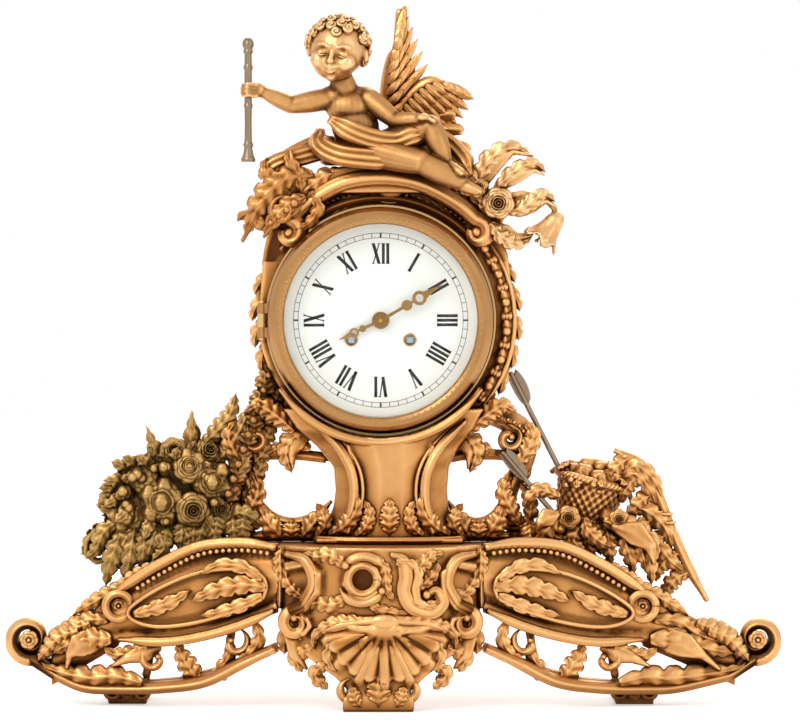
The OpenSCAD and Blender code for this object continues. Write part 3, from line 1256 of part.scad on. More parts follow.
module count_wheel() color("gold") placed() at(strike_second_p)
    slab(behind_y + 0.8, behind_y + 2) difference() {
        circle(12.5);
        circle(pivot_r + running);
        for (i = [1 : 11]) rotate(i * (i + 1) / 2 * 360 / 78)
            translate([11.3, -0.6]) square([3, 1.2]);
        for (i = [0 : 3]) rotate(45 + i * 90) translate([6.6, 0]) circle(2.6);
    }
bell_front = behind_y + 12;
bell_depth = 17;
hammer_y = bell_front + 2;
hammer_head = bell_p + [-bell_r - 2.9, 0];
module hammer() color("silver") placed() {
    at(hammer_p) {
        rod(arbor_r, train_y + 0.15, hammer_y + 1.6);
        rod(pivot_r, front_plate_y + 0.3, train_y + 1);
        rod(1.9, hammer_y, hammer_y + 1.6);
        slab(pin_wheel_y + wheel_t + 0.2, pin_wheel_y + wheel_t + 1.4)
            polygon([[0, 1], [2.4, 0.4], [2.4, -0.4], [0, -1]]);
    }
    slab(hammer_y, hammer_y + 1.6) polygon([hammer_p + [-1, 0], hammer_head + [-0.8, 0],
        hammer_head + [0.8, 0], hammer_p + [1, 0]]);
    translate([hammer_head[0] - 3.4, hammer_y + 0.8, hammer_head[1]]) rotate([0, 90, 0])
        cylinder(r = 2.6, h = 5.8);
}
module bell() color("silver") placed() at(bell_p) turned(concat(
    curve([bell_r, bell_front], [bell_r - 1.4, bell_front + bell_depth * 0.6],
        [bell_r * 0.7, bell_front + bell_depth], [2.2, bell_front + bell_depth], 8),
    curve([2.2, bell_front + bell_depth - bell_wall],
        [bell_r * 0.66, bell_front + bell_depth - bell_wall],
        [bell_r - 1.4 - bell_wall, bell_front + bell_depth * 0.6 - bell_wall],
        [bell_r - bell_wall, bell_front], 8)));
module bell_stand() color("gold") placed() {
    top_y = bell_front + bell_depth + 1.2;
    a = aim(bell_post_p, bell_p);
    at(bell_post_p) rod(2, behind_y, top_y + 2.2);
    slab(top_y, top_y + 2.2) {
        translate(bell_post_p) circle(3);
        translate(bell_p) circle(4);
        translate(bell_post_p) rotate(a) translate([0, -2]) square([norm(bell_p - bell_post_p), 4]);
    }
    at(bell_p) {
        rod(1.9, top_y - bell_wall - 3.4, top_y + 0.5);
        rod(3.4, top_y - 0.9, top_y + 0.1);
        rod(3.4, top_y - bell_wall - 3.9, top_y - bell_wall - 1.5);
    }
}

// Suspension and pendulum
strip_t = 0.3;
strip_rise = 3.2;
bend_z = pallet_p[1];
module suspension_cock() color("gold") placed() difference() {
    translate([-4, behind_y, bend_z + 2.4]) cube([8, 7.5, 3.2]);
    translate([-0.5, behind_y + 2.6, bend_z]) cube([1, 10, 4.4]);
}
module pendulum() color("silver") placed() {
    bob_z = bend_z - pendulum_len;
    translate([-strip_t / 2, rod_y - 1.5, bend_z - 4]) cube([strip_t, 3, strip_rise + 4]);
    translate([-1.1, rod_y - 1.8, bend_z - 6]) cube([2.2, 3.6, 3]);
    translate([0, rod_y, bob_z - bob_r - 4.4]) cylinder(r = rod_r, h = pendulum_len + bob_r - 0.6);
    translate([0, rod_y, bob_z - bob_r - 2.8]) cylinder(r = 2.3, h = 2.2);
}
module pendulum_bob() color("gold") placed() {
    bob_z = bend_z - pendulum_len;
    difference() {
        translate([0, rod_y, bob_z]) turned([[0, -3.4], [bob_r * 0.5, -3.1], [bob_r - 0.6, -1.6],
            [bob_r, -0.7], [bob_r, 0.7], [bob_r - 0.6, 1.6], [bob_r * 0.5, 3.1], [0, 3.4]]);
        translate([0, rod_y, bob_z - 20]) cylinder(r = rod_r + running, h = 40);
    }
}

// Rear ring, door and its hinge
rear_ring_r = drum_r + 2;
door_r = rear_ring_r - 6.5;
rear_hinge_x = door_r + 2.7;
rear_hinge_y = drum_back + knuckle_r + fit;
module rear_ring() color("gold") placed() difference() {
    union() {
        at(centre_p) turned([
            [rear_sight_r, rear_ring_front], [spigot_r - spigot_t, rear_ring_front],
            [spigot_r - spigot_t, rear_ring_front - 5], [spigot_r, rear_ring_front - 5],
            [spigot_r, rear_ring_front], [rear_ring_r, rear_ring_front],
            [rear_ring_r, drum_back - 0.8], [rear_ring_r - 0.8, drum_back],
            [rear_sight_r, drum_back]
        ]);
        knuckle(rear_hinge_x, rear_hinge_y, -knuckle_h, knuckle_h);
        translate([rear_hinge_x - 1.5, drum_back - 0.5, dial_z - knuckle_h])
            cube([3, knuckle_r + fit, 2 * knuckle_h]);
    }
    pin_bore(rear_hinge_x, rear_hinge_y);
    for (s = [-1, 1]) at([s * screw_x, dial_z]) {
        rod(screw_r + fit, 0, 200);
        rod(2.1 + fit, drum_back - 1.5, 200);
    }
}
module rear_door() color("gold") placed() difference() {
    union() {
        at(centre_p) {
            rod(door_r, door_front, door_front + door_t);
            ring(door_r - 3, door_r, door_front, door_front + door_t + 0.6);
        }
        for (s = [-1, 1]) let (low = s < 0 ? -8.7 : knuckle_h + 0.2) {
            knuckle(rear_hinge_x, rear_hinge_y, low, low + 5);
            translate([rear_hinge_x - 5, door_front, dial_z + low]) cube([5, door_t, 5]);
        }
        at([-door_r + 6, dial_z]) turned([[0, door_front + 0.5], [1.6, door_front + 0.5],
            [1.6, door_front + door_t + 1.6], [2.8, door_front + door_t + 2.4],
            [2.8, door_front + door_t + 3.4], [1.8, door_front + door_t + knob_len],
            [0, door_front + door_t + knob_len]]);
    }
    pin_bore(rear_hinge_x, rear_hinge_y);
    for (i = [0 : 17]) at(around(33, i * 20)) rod(2.6, 0, 200);
    for (i = [0 : 11]) at(around(24, i * 30)) rod(2, 0, 200);
}
module rear_hinge_pin() color("gold") placed()
    translate([rear_hinge_x, rear_hinge_y, dial_z - 9.2]) {
        cylinder(r = hinge_pin_r, h = 18.4);
        translate([0, 0, 18.2]) cylinder(r = hinge_pin_r + 0.7, h = 1);
        translate([0, 0, -0.8]) cylinder(r = hinge_pin_r + 0.7, h = 1);
    }

base_centre();
base_arm_left();
base_arm_right();
base_bolts();
waist();
dial_surround();
surround_bolts();
case_drum();
acanthus_left();
flower_spray_right();
putto();
wings();
staff();
bouquet_left();
basket_trophy_right();
trophy_arrows();
front_ring();
bezel();
sight_ring();
bezel_glass();
bezel_hinge_pin();
dial();
minute_hand();
hour_hand();
hand_collet();
cannon_pinion();
minute_wheel();
hour_wheel();
front_plate();
back_plate();
plate_pillars();
movement_posts();
case_straps();
going_barrel();
strike_barrel();
going_spring();
strike_spring();
going_arbor();
strike_arbor();
clicks();
intermediate_wheel();
centre_wheel();
third_wheel();
escape_wheel();
pallets();
strike_second_wheel();
pin_wheel();
fly();
count_wheel();
hammer();
bell();
bell_stand();
suspension_cock();
pendulum();
pendulum_bob();
rear_ring();
rear_door();
rear_hinge_pin();
strap_screws();
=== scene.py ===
import math
import random

import bmesh
import bpy
import numpy as np
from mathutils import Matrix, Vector


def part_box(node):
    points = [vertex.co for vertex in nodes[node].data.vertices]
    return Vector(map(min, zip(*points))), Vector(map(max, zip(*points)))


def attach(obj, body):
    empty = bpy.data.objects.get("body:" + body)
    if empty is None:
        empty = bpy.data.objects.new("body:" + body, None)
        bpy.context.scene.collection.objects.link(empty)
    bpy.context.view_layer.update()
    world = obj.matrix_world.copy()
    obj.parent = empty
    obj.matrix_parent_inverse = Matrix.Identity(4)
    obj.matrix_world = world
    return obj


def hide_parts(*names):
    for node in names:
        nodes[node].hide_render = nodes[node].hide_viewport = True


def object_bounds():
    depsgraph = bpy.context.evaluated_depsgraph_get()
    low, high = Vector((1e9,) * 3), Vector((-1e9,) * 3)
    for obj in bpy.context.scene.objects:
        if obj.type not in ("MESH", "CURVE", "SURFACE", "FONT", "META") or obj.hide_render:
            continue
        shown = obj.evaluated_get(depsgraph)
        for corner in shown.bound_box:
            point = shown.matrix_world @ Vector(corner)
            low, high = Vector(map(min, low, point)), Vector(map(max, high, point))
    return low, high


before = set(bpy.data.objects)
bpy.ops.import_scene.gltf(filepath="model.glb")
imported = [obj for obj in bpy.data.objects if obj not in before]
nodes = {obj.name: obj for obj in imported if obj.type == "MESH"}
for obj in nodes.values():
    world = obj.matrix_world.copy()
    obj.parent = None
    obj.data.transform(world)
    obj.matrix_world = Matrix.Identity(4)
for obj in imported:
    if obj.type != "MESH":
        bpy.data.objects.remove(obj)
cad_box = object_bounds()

MM = 0.001
DIAL_BACK = 1.5 * MM

# All points below are in millimetres, with x = 0 on the dial's axis and y = 0 at its seat
dial_low, dial_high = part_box("dial")
AXIS_X = (dial_low.x + dial_high.x) / 2
SEAT_Y = dial_high.y + DIAL_BACK
DIAL_Z = (dial_low.z + dial_high.z) / 2 / MM
BASE_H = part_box("base_centre")[1].z / MM
TOP_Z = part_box("dial_surround")[1].z / MM
ARM_SEAT = BASE_H + 5
SHIFT = np.array([AXIS_X, SEAT_Y, 0.0])
FRONT = (0.0, -1.0, 0.0)
UP = (0.0, 0.0, 1.0)
FULL_TURN = 2 * math.pi


def arr(*p):
    return np.array(p, float)


def unit(v):
    return v / np.maximum(np.linalg.norm(v, axis=-1, keepdims=True), 1e-9)


def mix(a, b, t):
    return a + (b - a) * t


# Curves
def lengths(path):
    """How far along a path each of its points lies."""
    return np.concatenate([[0], np.cumsum(np.linalg.norm(np.diff(path, axis=0), axis=1))])


def smooth_path(points, n):
    """n points, evenly spaced, on a smooth curve through the given ones."""
    p = np.array(points, float)
    pad = np.vstack([2 * p[0] - p[1], p, 2 * p[-1] - p[-2]])
    segs = len(p) - 1
    t = np.linspace(0, segs, 16 * segs + 1)
    i = np.minimum(t.astype(int), segs - 1)
    f = (t - i)[:, None]
    a, b, c, d = pad[i], pad[i + 1], pad[i + 2], pad[i + 3]
    q = 0.5 * (2 * b + (c - a) * f + (2 * a - 5 * b + 4 * c - d) * f ** 2
               + (3 * b - a - 3 * c + d) * f ** 3)
    s = lengths(q)
    u = np.linspace(0, s[-1], n)
    return np.column_stack([np.interp(u, s, q[:, k]) for k in range(3)])


def spiral(cx, cz, y, r0, r1, a0, a1, n):
    """Points of a spiral in x and z, with angles in degrees."""
    t = np.linspace(0, 1, n)
    a = np.radians(mix(a0, a1, t))
    r = mix(r0, r1, t)
    return np.column_stack([cx + r * np.cos(a), np.full(n, float(y)), cz + r * np.sin(a)])


def rim(r, a0, a1, y, n):
    """An arc round the dial's axis."""
    return spiral(0, DIAL_Z, y, r, r, a0, a1, n)


def rim_point(r, degrees, y):
    return rim(r, degrees, degrees, y, 1)[0]


def ring_round(cx, cy, z, r, n):
    """A level ring round an upright axis."""
    a = np.linspace(0, FULL_TURN, n)
    return np.column_stack([cx + r * np.cos(a), cy + r * np.sin(a), np.full(n, z)])


def axes_of(path, out):
    tangent = unit(np.gradient(path, axis=0))
    out = np.broadcast_to(np.array(out, float), path.shape)
    normal = unit(out - (out * tangent).sum(1)[:, None] * tangent)
    return tangent, normal, np.cross(tangent, normal)


def size_along(n, size):
    """A number, or (full, start, end, a, b) for one that swells up to a and falls from b."""
    if not isinstance(size, tuple):
        return np.broadcast_to(float(size), n)
    full, start, end, a, b = size + (size[1], 0.18, 0.82)[len(size) - 2:]
    u = np.linspace(0, 1, n)
    up, down = (q * q * (3 - 2 * q)
                for q in (np.clip(u / a, 0, 1), np.clip((1 - u) / (1 - b), 0, 1)))
    return full * (start + (1 - start) * up) * (end + (1 - end) * down)


def stand(level, side=1, mid=0):
    """Turns a point's x into one on the given side, and its z into a height over the level."""
    return lambda x, y, z: (mid + side * x, y, level + z)


def placed(place, *points):
    return [place(*p) for p in points]


# Meshes
def read(items, field, wide=3, kind=float):
    """One field of all the vertices or edges of a mesh, in rows."""
    flat = np.zeros(len(items) * wide, kind)
    items.foreach_get(field, flat)
    return flat.reshape(-1, wide)


def move_points(mesh, co):
    mesh.vertices.foreach_set("co", co.ravel())
    mesh.update()


def web_of(mesh):
    """A mesh's edges, and how many of them meet at each vertex."""
    edges = read(mesh.edges, "vertices", 2, np.int64)
    meet = np.bincount(edges.ravel(), minlength=len(mesh.vertices))
    return edges, np.maximum(meet, 1).astype(float)


def averaged(values, edges, count):
    total = np.zeros_like(values)
    np.add.at(total, edges[:, 0], values[edges[:, 1]])
    np.add.at(total, edges[:, 1], values[edges[:, 0]])
    return total / (count[:, None] if values.ndim > 1 else count)


def outward(mesh):
    """Turns the faces of every shell outward."""
    bm = bmesh.new()
    bm.from_mesh(mesh)
    bmesh.ops.recalc_face_normals(bm, faces=bm.faces)
    bm.to_mesh(mesh)
    bm.free()


def painted_shade_patch(p, x, y, z, rx, ry, rz, amount):
    """A soft spot of painted shade (or, below zero, of painted light) round a point."""
    far = ((p[:, 0] - x) / rx) ** 2 + ((p[:, 1] - y) / ry) ** 2 + ((p[:, 2] - z) / rz) ** 2
    return amount * np.exp(-far ** 2)


# Wear of a flat place, what a bend adds to it, and how often bends are evened out
WEAR_FLAT, WEAR_GAIN, WEAR_ROUNDS = 0.5, 2.6, 4


def add_wear_and_painted_shade(mesh, shade=None):
    """Stores how convex (above WEAR_FLAT) or hollow (below it) the surface is at each point,
    darkened by painted shade and lightened by painted light from shade.
    """
    edges, count = web_of(mesh)
    co = read(mesh.vertices, "co")
    normal = read(mesh.vertices, "normal")
    near = averaged(co, edges, count)
    span = np.zeros(len(co))
    length = np.linalg.norm(co[edges[:, 0]] - co[edges[:, 1]], axis=1)
    np.add.at(span, edges[:, 0], length)
    np.add.at(span, edges[:, 1], length)
    span = np.maximum(span / count, 1e-6)
    bend = ((co - near) * normal).sum(1) / span
    for _ in range(WEAR_ROUNDS):
        bend = 0.5 * bend + 0.5 * averaged(bend, edges, count)
    value = WEAR_FLAT + WEAR_GAIN * bend
    # Painted shade and painted light from shade are taken into the stored value
    if shade is not None:
        value = value - shade((co - SHIFT) / MM)
    layer = mesh.attributes.new("wear_and_painted_shade", "FLOAT", "POINT")
    layer.data.foreach_set("value", np.clip(value, 0, 1).astype(np.float32))


# Shares of the way to the neighbours' middle: inward, back outward, and after a pull
SMOOTH_IN, SMOOTH_OUT, SETTLE = 0.5, -0.47, 0.3


def melt(mesh, voxel, rounds, pull=None):
    """Joins overlapping shells into one skin and rounds it, as cast metal is."""
    obj = bpy.data.objects.new("melt", mesh)
    bpy.context.scene.collection.objects.link(obj)
    bpy.context.view_layer.objects.active = obj
    mesh.remesh_voxel_size = voxel * MM
    mesh.use_remesh_preserve_volume = False
    mesh.use_remesh_fix_poles = False
    bpy.ops.object.voxel_remesh()
    mesh = obj.data
    bpy.data.objects.remove(obj)
    edges, count = web_of(mesh)
    co = read(mesh.vertices, "co")
    for k in range(rounds):
        step = SMOOTH_OUT if k % 2 else SMOOTH_IN
        co = co + step * (averaged(co, edges, count) - co)
    if pull is not None:
        co = pull((co - SHIFT) / MM) * MM + SHIFT
        for _ in range(2):
            co = co + SETTLE * (averaged(co, edges, count) - co)
    move_points(mesh, co)
    return mesh


class Shape:
    """Closed shells gathered into one mesh; points are in millimetres on the dial's axis."""

    def __init__(self, skin=None):
        self.parts, self.faces, self.count = [], [], 0
        if skin is not None:
            self.add((read(skin.vertices, "co") - SHIFT) / MM,
                     [tuple(p.vertices) for p in skin.polygons])

    def add(self, points, faces):
        points = np.asarray(points, float).reshape(-1, 3)
        self.parts.append(points)
        self.faces.extend(tuple(int(k) + self.count for k in f) for f in faces)
        self.count += len(points)

    def tube(self, rings, close_ends=True):
        """rings is (n, m, 3): n rings of m points."""
        n, m = rings.shape[:2]
        i, j = np.meshgrid(np.arange(n - 1), np.arange(m), indexing="ij")
        k = (j + 1) % m
        quads = np.stack([i * m + j, i * m + k, (i + 1) * m + k, (i + 1) * m + j], -1)
        faces = [tuple(q) for q in quads.reshape(-1, 4)]
        points = rings.reshape(-1, 3)
        if close_ends:
            points = np.vstack([points, rings[0].mean(0), rings[-1].mean(0)])
            first, last = n * m, n * m + 1
            for q in range(m):
                r = (q + 1) % m
                faces.append((r, q, first))
                faces.append(((n - 1) * m + q, (n - 1) * m + r, last))
        self.add(points, faces)

    def sheet(self, front, back):
        """A sheet with two faces over (n, m, 3) grids, closed round its edge."""
        n, m = front.shape[:2]
        half = n * m
        faces = []
        for i in range(n - 1):
            for j in range(m - 1):
                a, b, c, d = i * m + j, i * m + j + 1, (i + 1) * m + j + 1, (i + 1) * m + j
                faces.append((a, b, c, d))
                faces.append((half + a, half + d, half + c, half + b))
        edge = ([j for j in range(m)] + [i * m + m - 1 for i in range(1, n)]
                + [(n - 1) * m + j for j in range(m - 2, -1, -1)]
                + [i * m for i in range(n - 2, 0, -1)])
        for a, b in zip(edge, edge[1:] + edge[:1]):
            faces.append((b, a, half + a, half + b))
        self.add(np.vstack([front.reshape(-1, 3), back.reshape(-1, 3)]), faces)

    def mesh(self, name):
        mesh = bpy.data.meshes.new(name)
        mesh.from_pydata((np.vstack(self.parts) * MM + SHIFT).tolist(), [], self.faces)
        mesh.validate(clean_customdata=False)
        mesh.update()
        return mesh

    def piece(self, name, slot, material, replaced=(), shade=None, body="case"):
        """Makes the mesh an object of the frame, with leaf tips held within the CAD box."""
        mesh = self.mesh(name)
        move_points(mesh, np.clip(read(mesh.vertices, "co"), *map(np.array, cad_box)))
        outward(mesh)
        mesh.materials.append(material)
        mesh.polygons.foreach_set("use_smooth", [True] * len(mesh.polygons))
        add_wear_and_painted_shade(mesh, shade)
        obj = bpy.data.objects.new(name, mesh)
        bpy.context.scene.collection.objects.link(obj)
        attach(obj, body)
        if replaced:
            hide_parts(*replaced)


def shell_of(name, voxel=0.9, rounds=8):
    """A shape that starts with a rounded copy of a CAD node."""
    return Shape(melt(nodes[name].data.copy(), voxel, rounds))


# Ornaments
def section_of(m, height, under=1.0):
    """A round section whose upper half has the given height at each place across."""
    a = np.linspace(0, FULL_TURN, m, endpoint=False)
    across, out = np.cos(a), np.sin(a)
    return np.column_stack([across, out * np.where(out > 0, height(across), under)])


ROUND = section_of(12, np.ones_like)
MOULDED = section_of(22, lambda x: 1 - 0.3 * np.exp(-((np.abs(x) - 0.52) / 0.16) ** 2))
FOLDED = section_of(48, lambda x: 0.84 + 0.16 * np.cos(3 * np.pi * x + 0.7), 0.84)


def sweep(shape, path, width, depth, section=MOULDED, out=FRONT):
    """Carries a section along a path; width and depth are as in size_along."""
    path = np.asarray(path, float)
    width, depth = size_along(len(path), width), size_along(len(path), depth)
    _, normal, side = axes_of(path, out)
    rings = (path[:, None] + section[None, :, 0, None] * (width[:, None] * side)[:, None]
             + section[None, :, 1, None] * (depth[:, None] * normal)[:, None])
    shape.tube(rings)


POLE = 0.12


def ball(shape, centre, radii, rows=10, cols=14, bump=None):
    """Rings from near one pole, at the angle POLE, to near the other."""
    p = np.linspace(POLE, np.pi - POLE, rows)
    q = np.linspace(0, FULL_TURN, cols, endpoint=False)
    pp, qq = np.meshgrid(p, q, indexing="ij")
    unit_ball = np.stack([np.sin(pp) * np.cos(qq), np.sin(pp) * np.sin(qq), np.cos(pp)], -1)
    if bump is not None:
        unit_ball = unit_ball * bump(pp)[..., None]
    shape.tube(unit_ball * np.array(radii, float) + np.array(centre, float))


def beads(shape, path, r, step, squash=1.0):
    s = lengths(path)
    for d in np.arange(step / 2, s[-1], step):
        ball(shape, [np.interp(d, s, path[:, k]) for k in range(3)], (r, r * squash, r), 7, 10)


# Notches between a leaf's lobes: depth in shares of its half width, length in shares of a lobe
NOTCH, NOTCH_LENGTH = 0.36, 0.15
# A midrib's height and width in shares of the half width, and how many barbs a feather has
MIDRIB, MIDRIB_WIDTH, BARBS = 0.14, 0.12, 14


def leaf(shape, points, half, lobes=4, cup=0.25, thick=1.3, out=FRONT, n=None, m=13,
         depth=0.15, roll=0.0, point=0.3):
    """An acanthus leaf on its midrib: lobed outline, ribs and a hollow along each lobe."""
    n = n or 8 * lobes + 6
    path = smooth_path(points, n)
    tangent, normal, side = axes_of(path, out)
    u = np.linspace(0, 1, n)[:, None]
    v = np.linspace(-1, 1, m)[None, :]
    envelope = np.sin(np.pi * np.clip(u * 0.93 + 0.06, 0, 1)) ** 0.7 * (1 - point * u)
    envelope = envelope * np.clip((1 - u) * 9, 0.05, 1)
    width = half * envelope
    if lobes:
        phase = (u * lobes) % 1.0
        cut = np.exp(-(np.minimum(phase, 1 - phase) / NOTCH_LENGTH) ** 2)
        cut = cut * np.clip(u * lobes * 2, 0, 1) * np.clip((1 - u) * lobes * 1.6, 0, 1)
        width = width * (1 - NOTCH * cut)
        vein = np.cos(2 * np.pi * lobes * u - 0.9 * np.abs(v) * np.pi + np.pi)
    else:
        vein = np.cos(2 * np.pi * BARBS * (u + 0.22 * np.abs(v)))
    forward = 0.16 * half * np.abs(v) ** 1.6 * np.clip(envelope, 0, 1)
    height = half * (-cup * v ** 2 * envelope + MIDRIB * np.exp(-(v / MIDRIB_WIDTH) ** 2)
                     + depth * vein * np.abs(v) ** 0.8 * (1 - 0.6 * v ** 4) * envelope)
    height = height - half * roll * u ** 4
    front = (path[:, None] + (v * width)[..., None] * side[:, None]
             + forward[..., None] * tangent[:, None] + height[..., None] * normal[:, None])
    shape.sheet(front, front - thick * normal[:, None])


def leaves(shape, rows, place=None, **looks):
    """A leaf for each row: its half width, its lobes and the points of its midrib."""
    for half, lobes, *points in rows:
        leaf(shape, placed(place, *points) if place else points, half, lobes, **looks)


PETALS = ((6, 1.0, 0.16), (5, 0.80, 0.42), (5, 0.60, 0.70), (4, 0.40, 0.95), (3, 0.22, 1.1))
ROSETTE = ((6, 1.0, 0.2), (5, 0.6, 0.5))


def flower(shape, centre, r, facing=FRONT, turn=0.0, rings=PETALS, heart=True):
    """Rings of petals, each (count, reach, rise), round a heart."""
    centre = np.array(centre, float)
    w = unit(np.array(facing, float))
    e = unit(np.cross(w, arr(0.2, 0.1, 1.0)))
    f = np.cross(w, e)
    s = np.linspace(-1, 1, 7)[None, :]
    t = np.linspace(0, 1, 7)[:, None]
    for k, (count, reach, rise) in enumerate(rings):
        for i in range(count):
            a0 = turn + 2 * np.pi * (i + 0.5 * (k % 2)) / count
            a = a0 + s * (np.pi / count) * 1.25 * (0.3 + 0.7 * np.sqrt(t))
            rad = r * reach * (0.12 + 0.88 * t) * (1 - 0.16 * s ** 2 * t)
            h = r * (rise * 0.62 * t ** 0.7 - 0.22 * reach * t ** 4 + 0.10 * s ** 2 * t
                     + 0.05 * np.cos(3 * s) * t ** 3)
            front = (centre + (rad * np.cos(a))[..., None] * e
                     + (rad * np.sin(a))[..., None] * f + h[..., None] * w)
            shape.sheet(front, front - 0.09 * r * w)
    if heart:
        ball(shape, centre + w * r * 0.3, r * 0.2, 7, 10)


def daisy(shape, centre, r, facing, turn, count=9):
    flower(shape, centre, r, facing, turn, ((count, 1.0, 0.12), (count, 0.72, 0.3)), False)
    ball(shape, np.array(centre, float) + unit(np.array(facing, float)) * r * 0.16, r * 0.3, 7, 12)


def c_scroll(shape, cx, cz, y, r, start, sweep_deg, wide, deep, tail=0.35):
    """A C-shaped scroll that ends in an eye."""
    path = spiral(cx, cz, y, r, r * tail, start, start + sweep_deg, 46)
    sweep(shape, path, (wide, 0.2, 0.5, 0.3), (deep, 0.3, 0.6, 0.3))
    ball(shape, path[-1], (wide * 0.9, deep * 1.1, wide * 0.9))


# Materials
def rgba(colour):
    return (colour,) * 3 + (1,) if np.isscalar(colour) else (*colour, 1)


class Tree:
    """The node tree of a material or a world, with short ways to add to it."""

    def __init__(self, owner, output):
        owner.use_nodes = True
        self.nodes, self.links = owner.node_tree.nodes, owner.node_tree.links
        self.nodes.clear()
        self.end = self.add(output).inputs[0]

    def set(self, socket, value):
        if isinstance(value, bpy.types.NodeSocket):
            self.links.new(value, socket)
        else:
            socket.default_value = value

    def add(self, kind, inputs=None, **settings):
        made = self.nodes.new("ShaderNode" + kind)
        for key, value in settings.items():
            setattr(made, key, value)
        for key, value in (inputs or {}).items():
            self.set(made.inputs[key], value)
        return made

    def math(self, operation, a, b=0.0, c=0.5):
        return self.add("Math", {0: a, 1: b, 2: c}, operation=operation).outputs[0]

    def vector(self, operation, a, b=(0, 0, 0), output=0):
        return self.add("VectorMath", {0: a, 1: b}, operation=operation).outputs[output]

    def place(self):
        return self.add("TexCoord").outputs["Object"]

    def noise(self, place, scale, detail, rough=0.5):
        return self.add("TexNoise", {"Vector": place, "Scale": scale, "Detail": detail,
                                     "Roughness": rough}).outputs[0]

    # Ambient occlusion, used only to paint shade into colours
    def occlusion_shade(self, distance, samples):
        return self.add("AmbientOcclusion", {"Distance": distance}, samples=samples).outputs["AO"]

    def bump(self, height, strength, distance):
        return self.add("Bump", {"Height": height, "Strength": strength,
                                 "Distance": distance}).outputs[0]

    def ramp(self, fac, *stops):
        """A colour ramp; a stop's colour may be one grey value."""
        made = self.add("ValToRGB", {0: fac})
        elements = made.color_ramp.elements
        while len(elements) < len(stops):
            elements.new(0.5)
        for element, (place, colour) in zip(elements, stops):
            element.position = place
            element.color = rgba(colour)
        return made.outputs[0]

    def blend(self, fac, a, b, mode="MIX"):
        return self.add("Mix", {0: fac, 6: a, 7: b}, data_type="RGBA",
                        blend_type=mode).outputs[2]

    def seen_directly(self):
        """1 for rays that show a background: camera, transmission and glossy ones."""
        ray = self.add("LightPath").outputs
        direct = self.math("MAXIMUM", ray["Is Camera Ray"], ray["Is Transmission Ray"])
        return self.math("MAXIMUM", direct, ray["Is Glossy Ray"])


def new_material(name, **inputs):
    """A material, its tree and its shader, with fixed values given by the sockets' names."""
    material = bpy.data.materials.new(name)
    tree = Tree(material, "OutputMaterial")
    shader = tree.add("BsdfPrincipled")
    tree.set(tree.end, shader.outputs[0])
    for key, value in inputs.items():
        shader.inputs[key.replace("_", " ")].default_value = value
    return material, tree, shader


def gilt(name, light, middle, dark, rough=0.3, patina=None):
    """Cast and gilt bronze: burnished where it stands proud, dull and brown in its hollows, with
    patina there and painted shade.
    """
    material, tree, shader = new_material(name, Metallic=1.0)
    place = tree.place()
    wear_and_painted_shade = tree.add("Attribute", attribute_name="wear_and_painted_shade").outputs["Fac"]
    clouds = tree.noise(place, 26.0, 5.0, 0.6)
    fine = tree.noise(place, 420.0, 3.0, 0.6)
    pits = tree.add("TexVoronoi", {"Vector": place, "Scale": 620.0}).outputs[0]
    # Ambient occlusion darkens the colour: the near one is partly patina in crevices and partly
    # painted shade, the far one is painted shade under and between parts
    near = tree.ramp(tree.occlusion_shade(0.007, 8), (0.35, 0.0), (0.98, 1.0))
    far = tree.ramp(tree.occlusion_shade(0.03, 6), (0.12, 0.25), (0.85, 1.0))
    # The stored value read above also carries the painted shade and painted light of each piece
    edge = tree.ramp(wear_and_painted_shade, (0.28, 0.0), (0.5, 0.58), (0.74, 1.0))
    height = tree.math("MULTIPLY", tree.math("MULTIPLY", near, far), edge)
    mottled = tree.math("MULTIPLY", tree.math("SUBTRACT", clouds, 0.5), 0.45)
    height = tree.math("ADD", height, mottled)
    colour = tree.ramp(height, (0.0, dark), (0.2, mix(arr(*dark), arr(*middle), 0.45)),
                       (0.48, middle), (0.95, light))
    if patina is not None:
        spread = tree.noise(place, 14.0, 6.0, 0.65)
        amount = tree.ramp(spread, (0.40, 0.05), (0.62, 0.60))
        colour = tree.blend(amount, colour, rgba(patina))
    tree.set(shader.inputs["Base Color"], colour)
    dull = tree.math("MULTIPLY", tree.math("SUBTRACT", 1.0, height), 0.24)
    dull = tree.math("ADD", tree.math("MULTIPLY_ADD", fine, 0.22, rough - 0.05), dull)
    tree.set(shader.inputs["Roughness"], dull)
    grit = tree.math("ADD", fine, tree.math("MULTIPLY", pits, 0.6))
    tree.set(shader.inputs["Normal"], tree.bump(grit, 0.25, 0.0005))
    return material


def metal(name, light, dark, rough=0.28, lines=0.0, axis=None):
    """Turned, drawn or polished metal, with fine tool marks round its axis or along it."""
    material, tree, shader = new_material(name, Metallic=1.0)
    place = tree.place()
    cloud = tree.noise(place, 60.0, 3.0, 0.6)
    calm = tree.math("ADD", tree.math("MULTIPLY", cloud, 0.4), 0.30)
    # Ambient occlusion darkens the colour in hollows: painted shade
    near = tree.ramp(tree.occlusion_shade(0.004, 6), (0.2, 0.15), (0.9, 1.6))
    shade = tree.math("MULTIPLY", calm, near)
    tree.set(shader.inputs["Base Color"], tree.ramp(shade, (0.05, dark), (0.85, light)))
    tree.set(shader.inputs["Roughness"], tree.ramp(cloud, (0.3, rough * 0.88), (0.7, rough * 1.15)))
    if axis is not None:
        across = tree.vector("MULTIPLY", tree.vector("SUBTRACT", place, axis), (1, 0, 1))
        far = tree.vector("LENGTH", across, output="Value")
        marks = tree.add("TexNoise", {"W": far, "Scale": 2600.0, "Detail": 3.0},
                         noise_dimensions="1D").outputs[0]
    else:
        drawn = tree.add("Mapping", {"Vector": place, "Scale": (40, 900, 900)}).outputs[0]
        marks = tree.noise(drawn, 1.0, 3.0)
    tree.set(shader.inputs["Normal"], tree.bump(marks, lines, 0.0002))
    return material


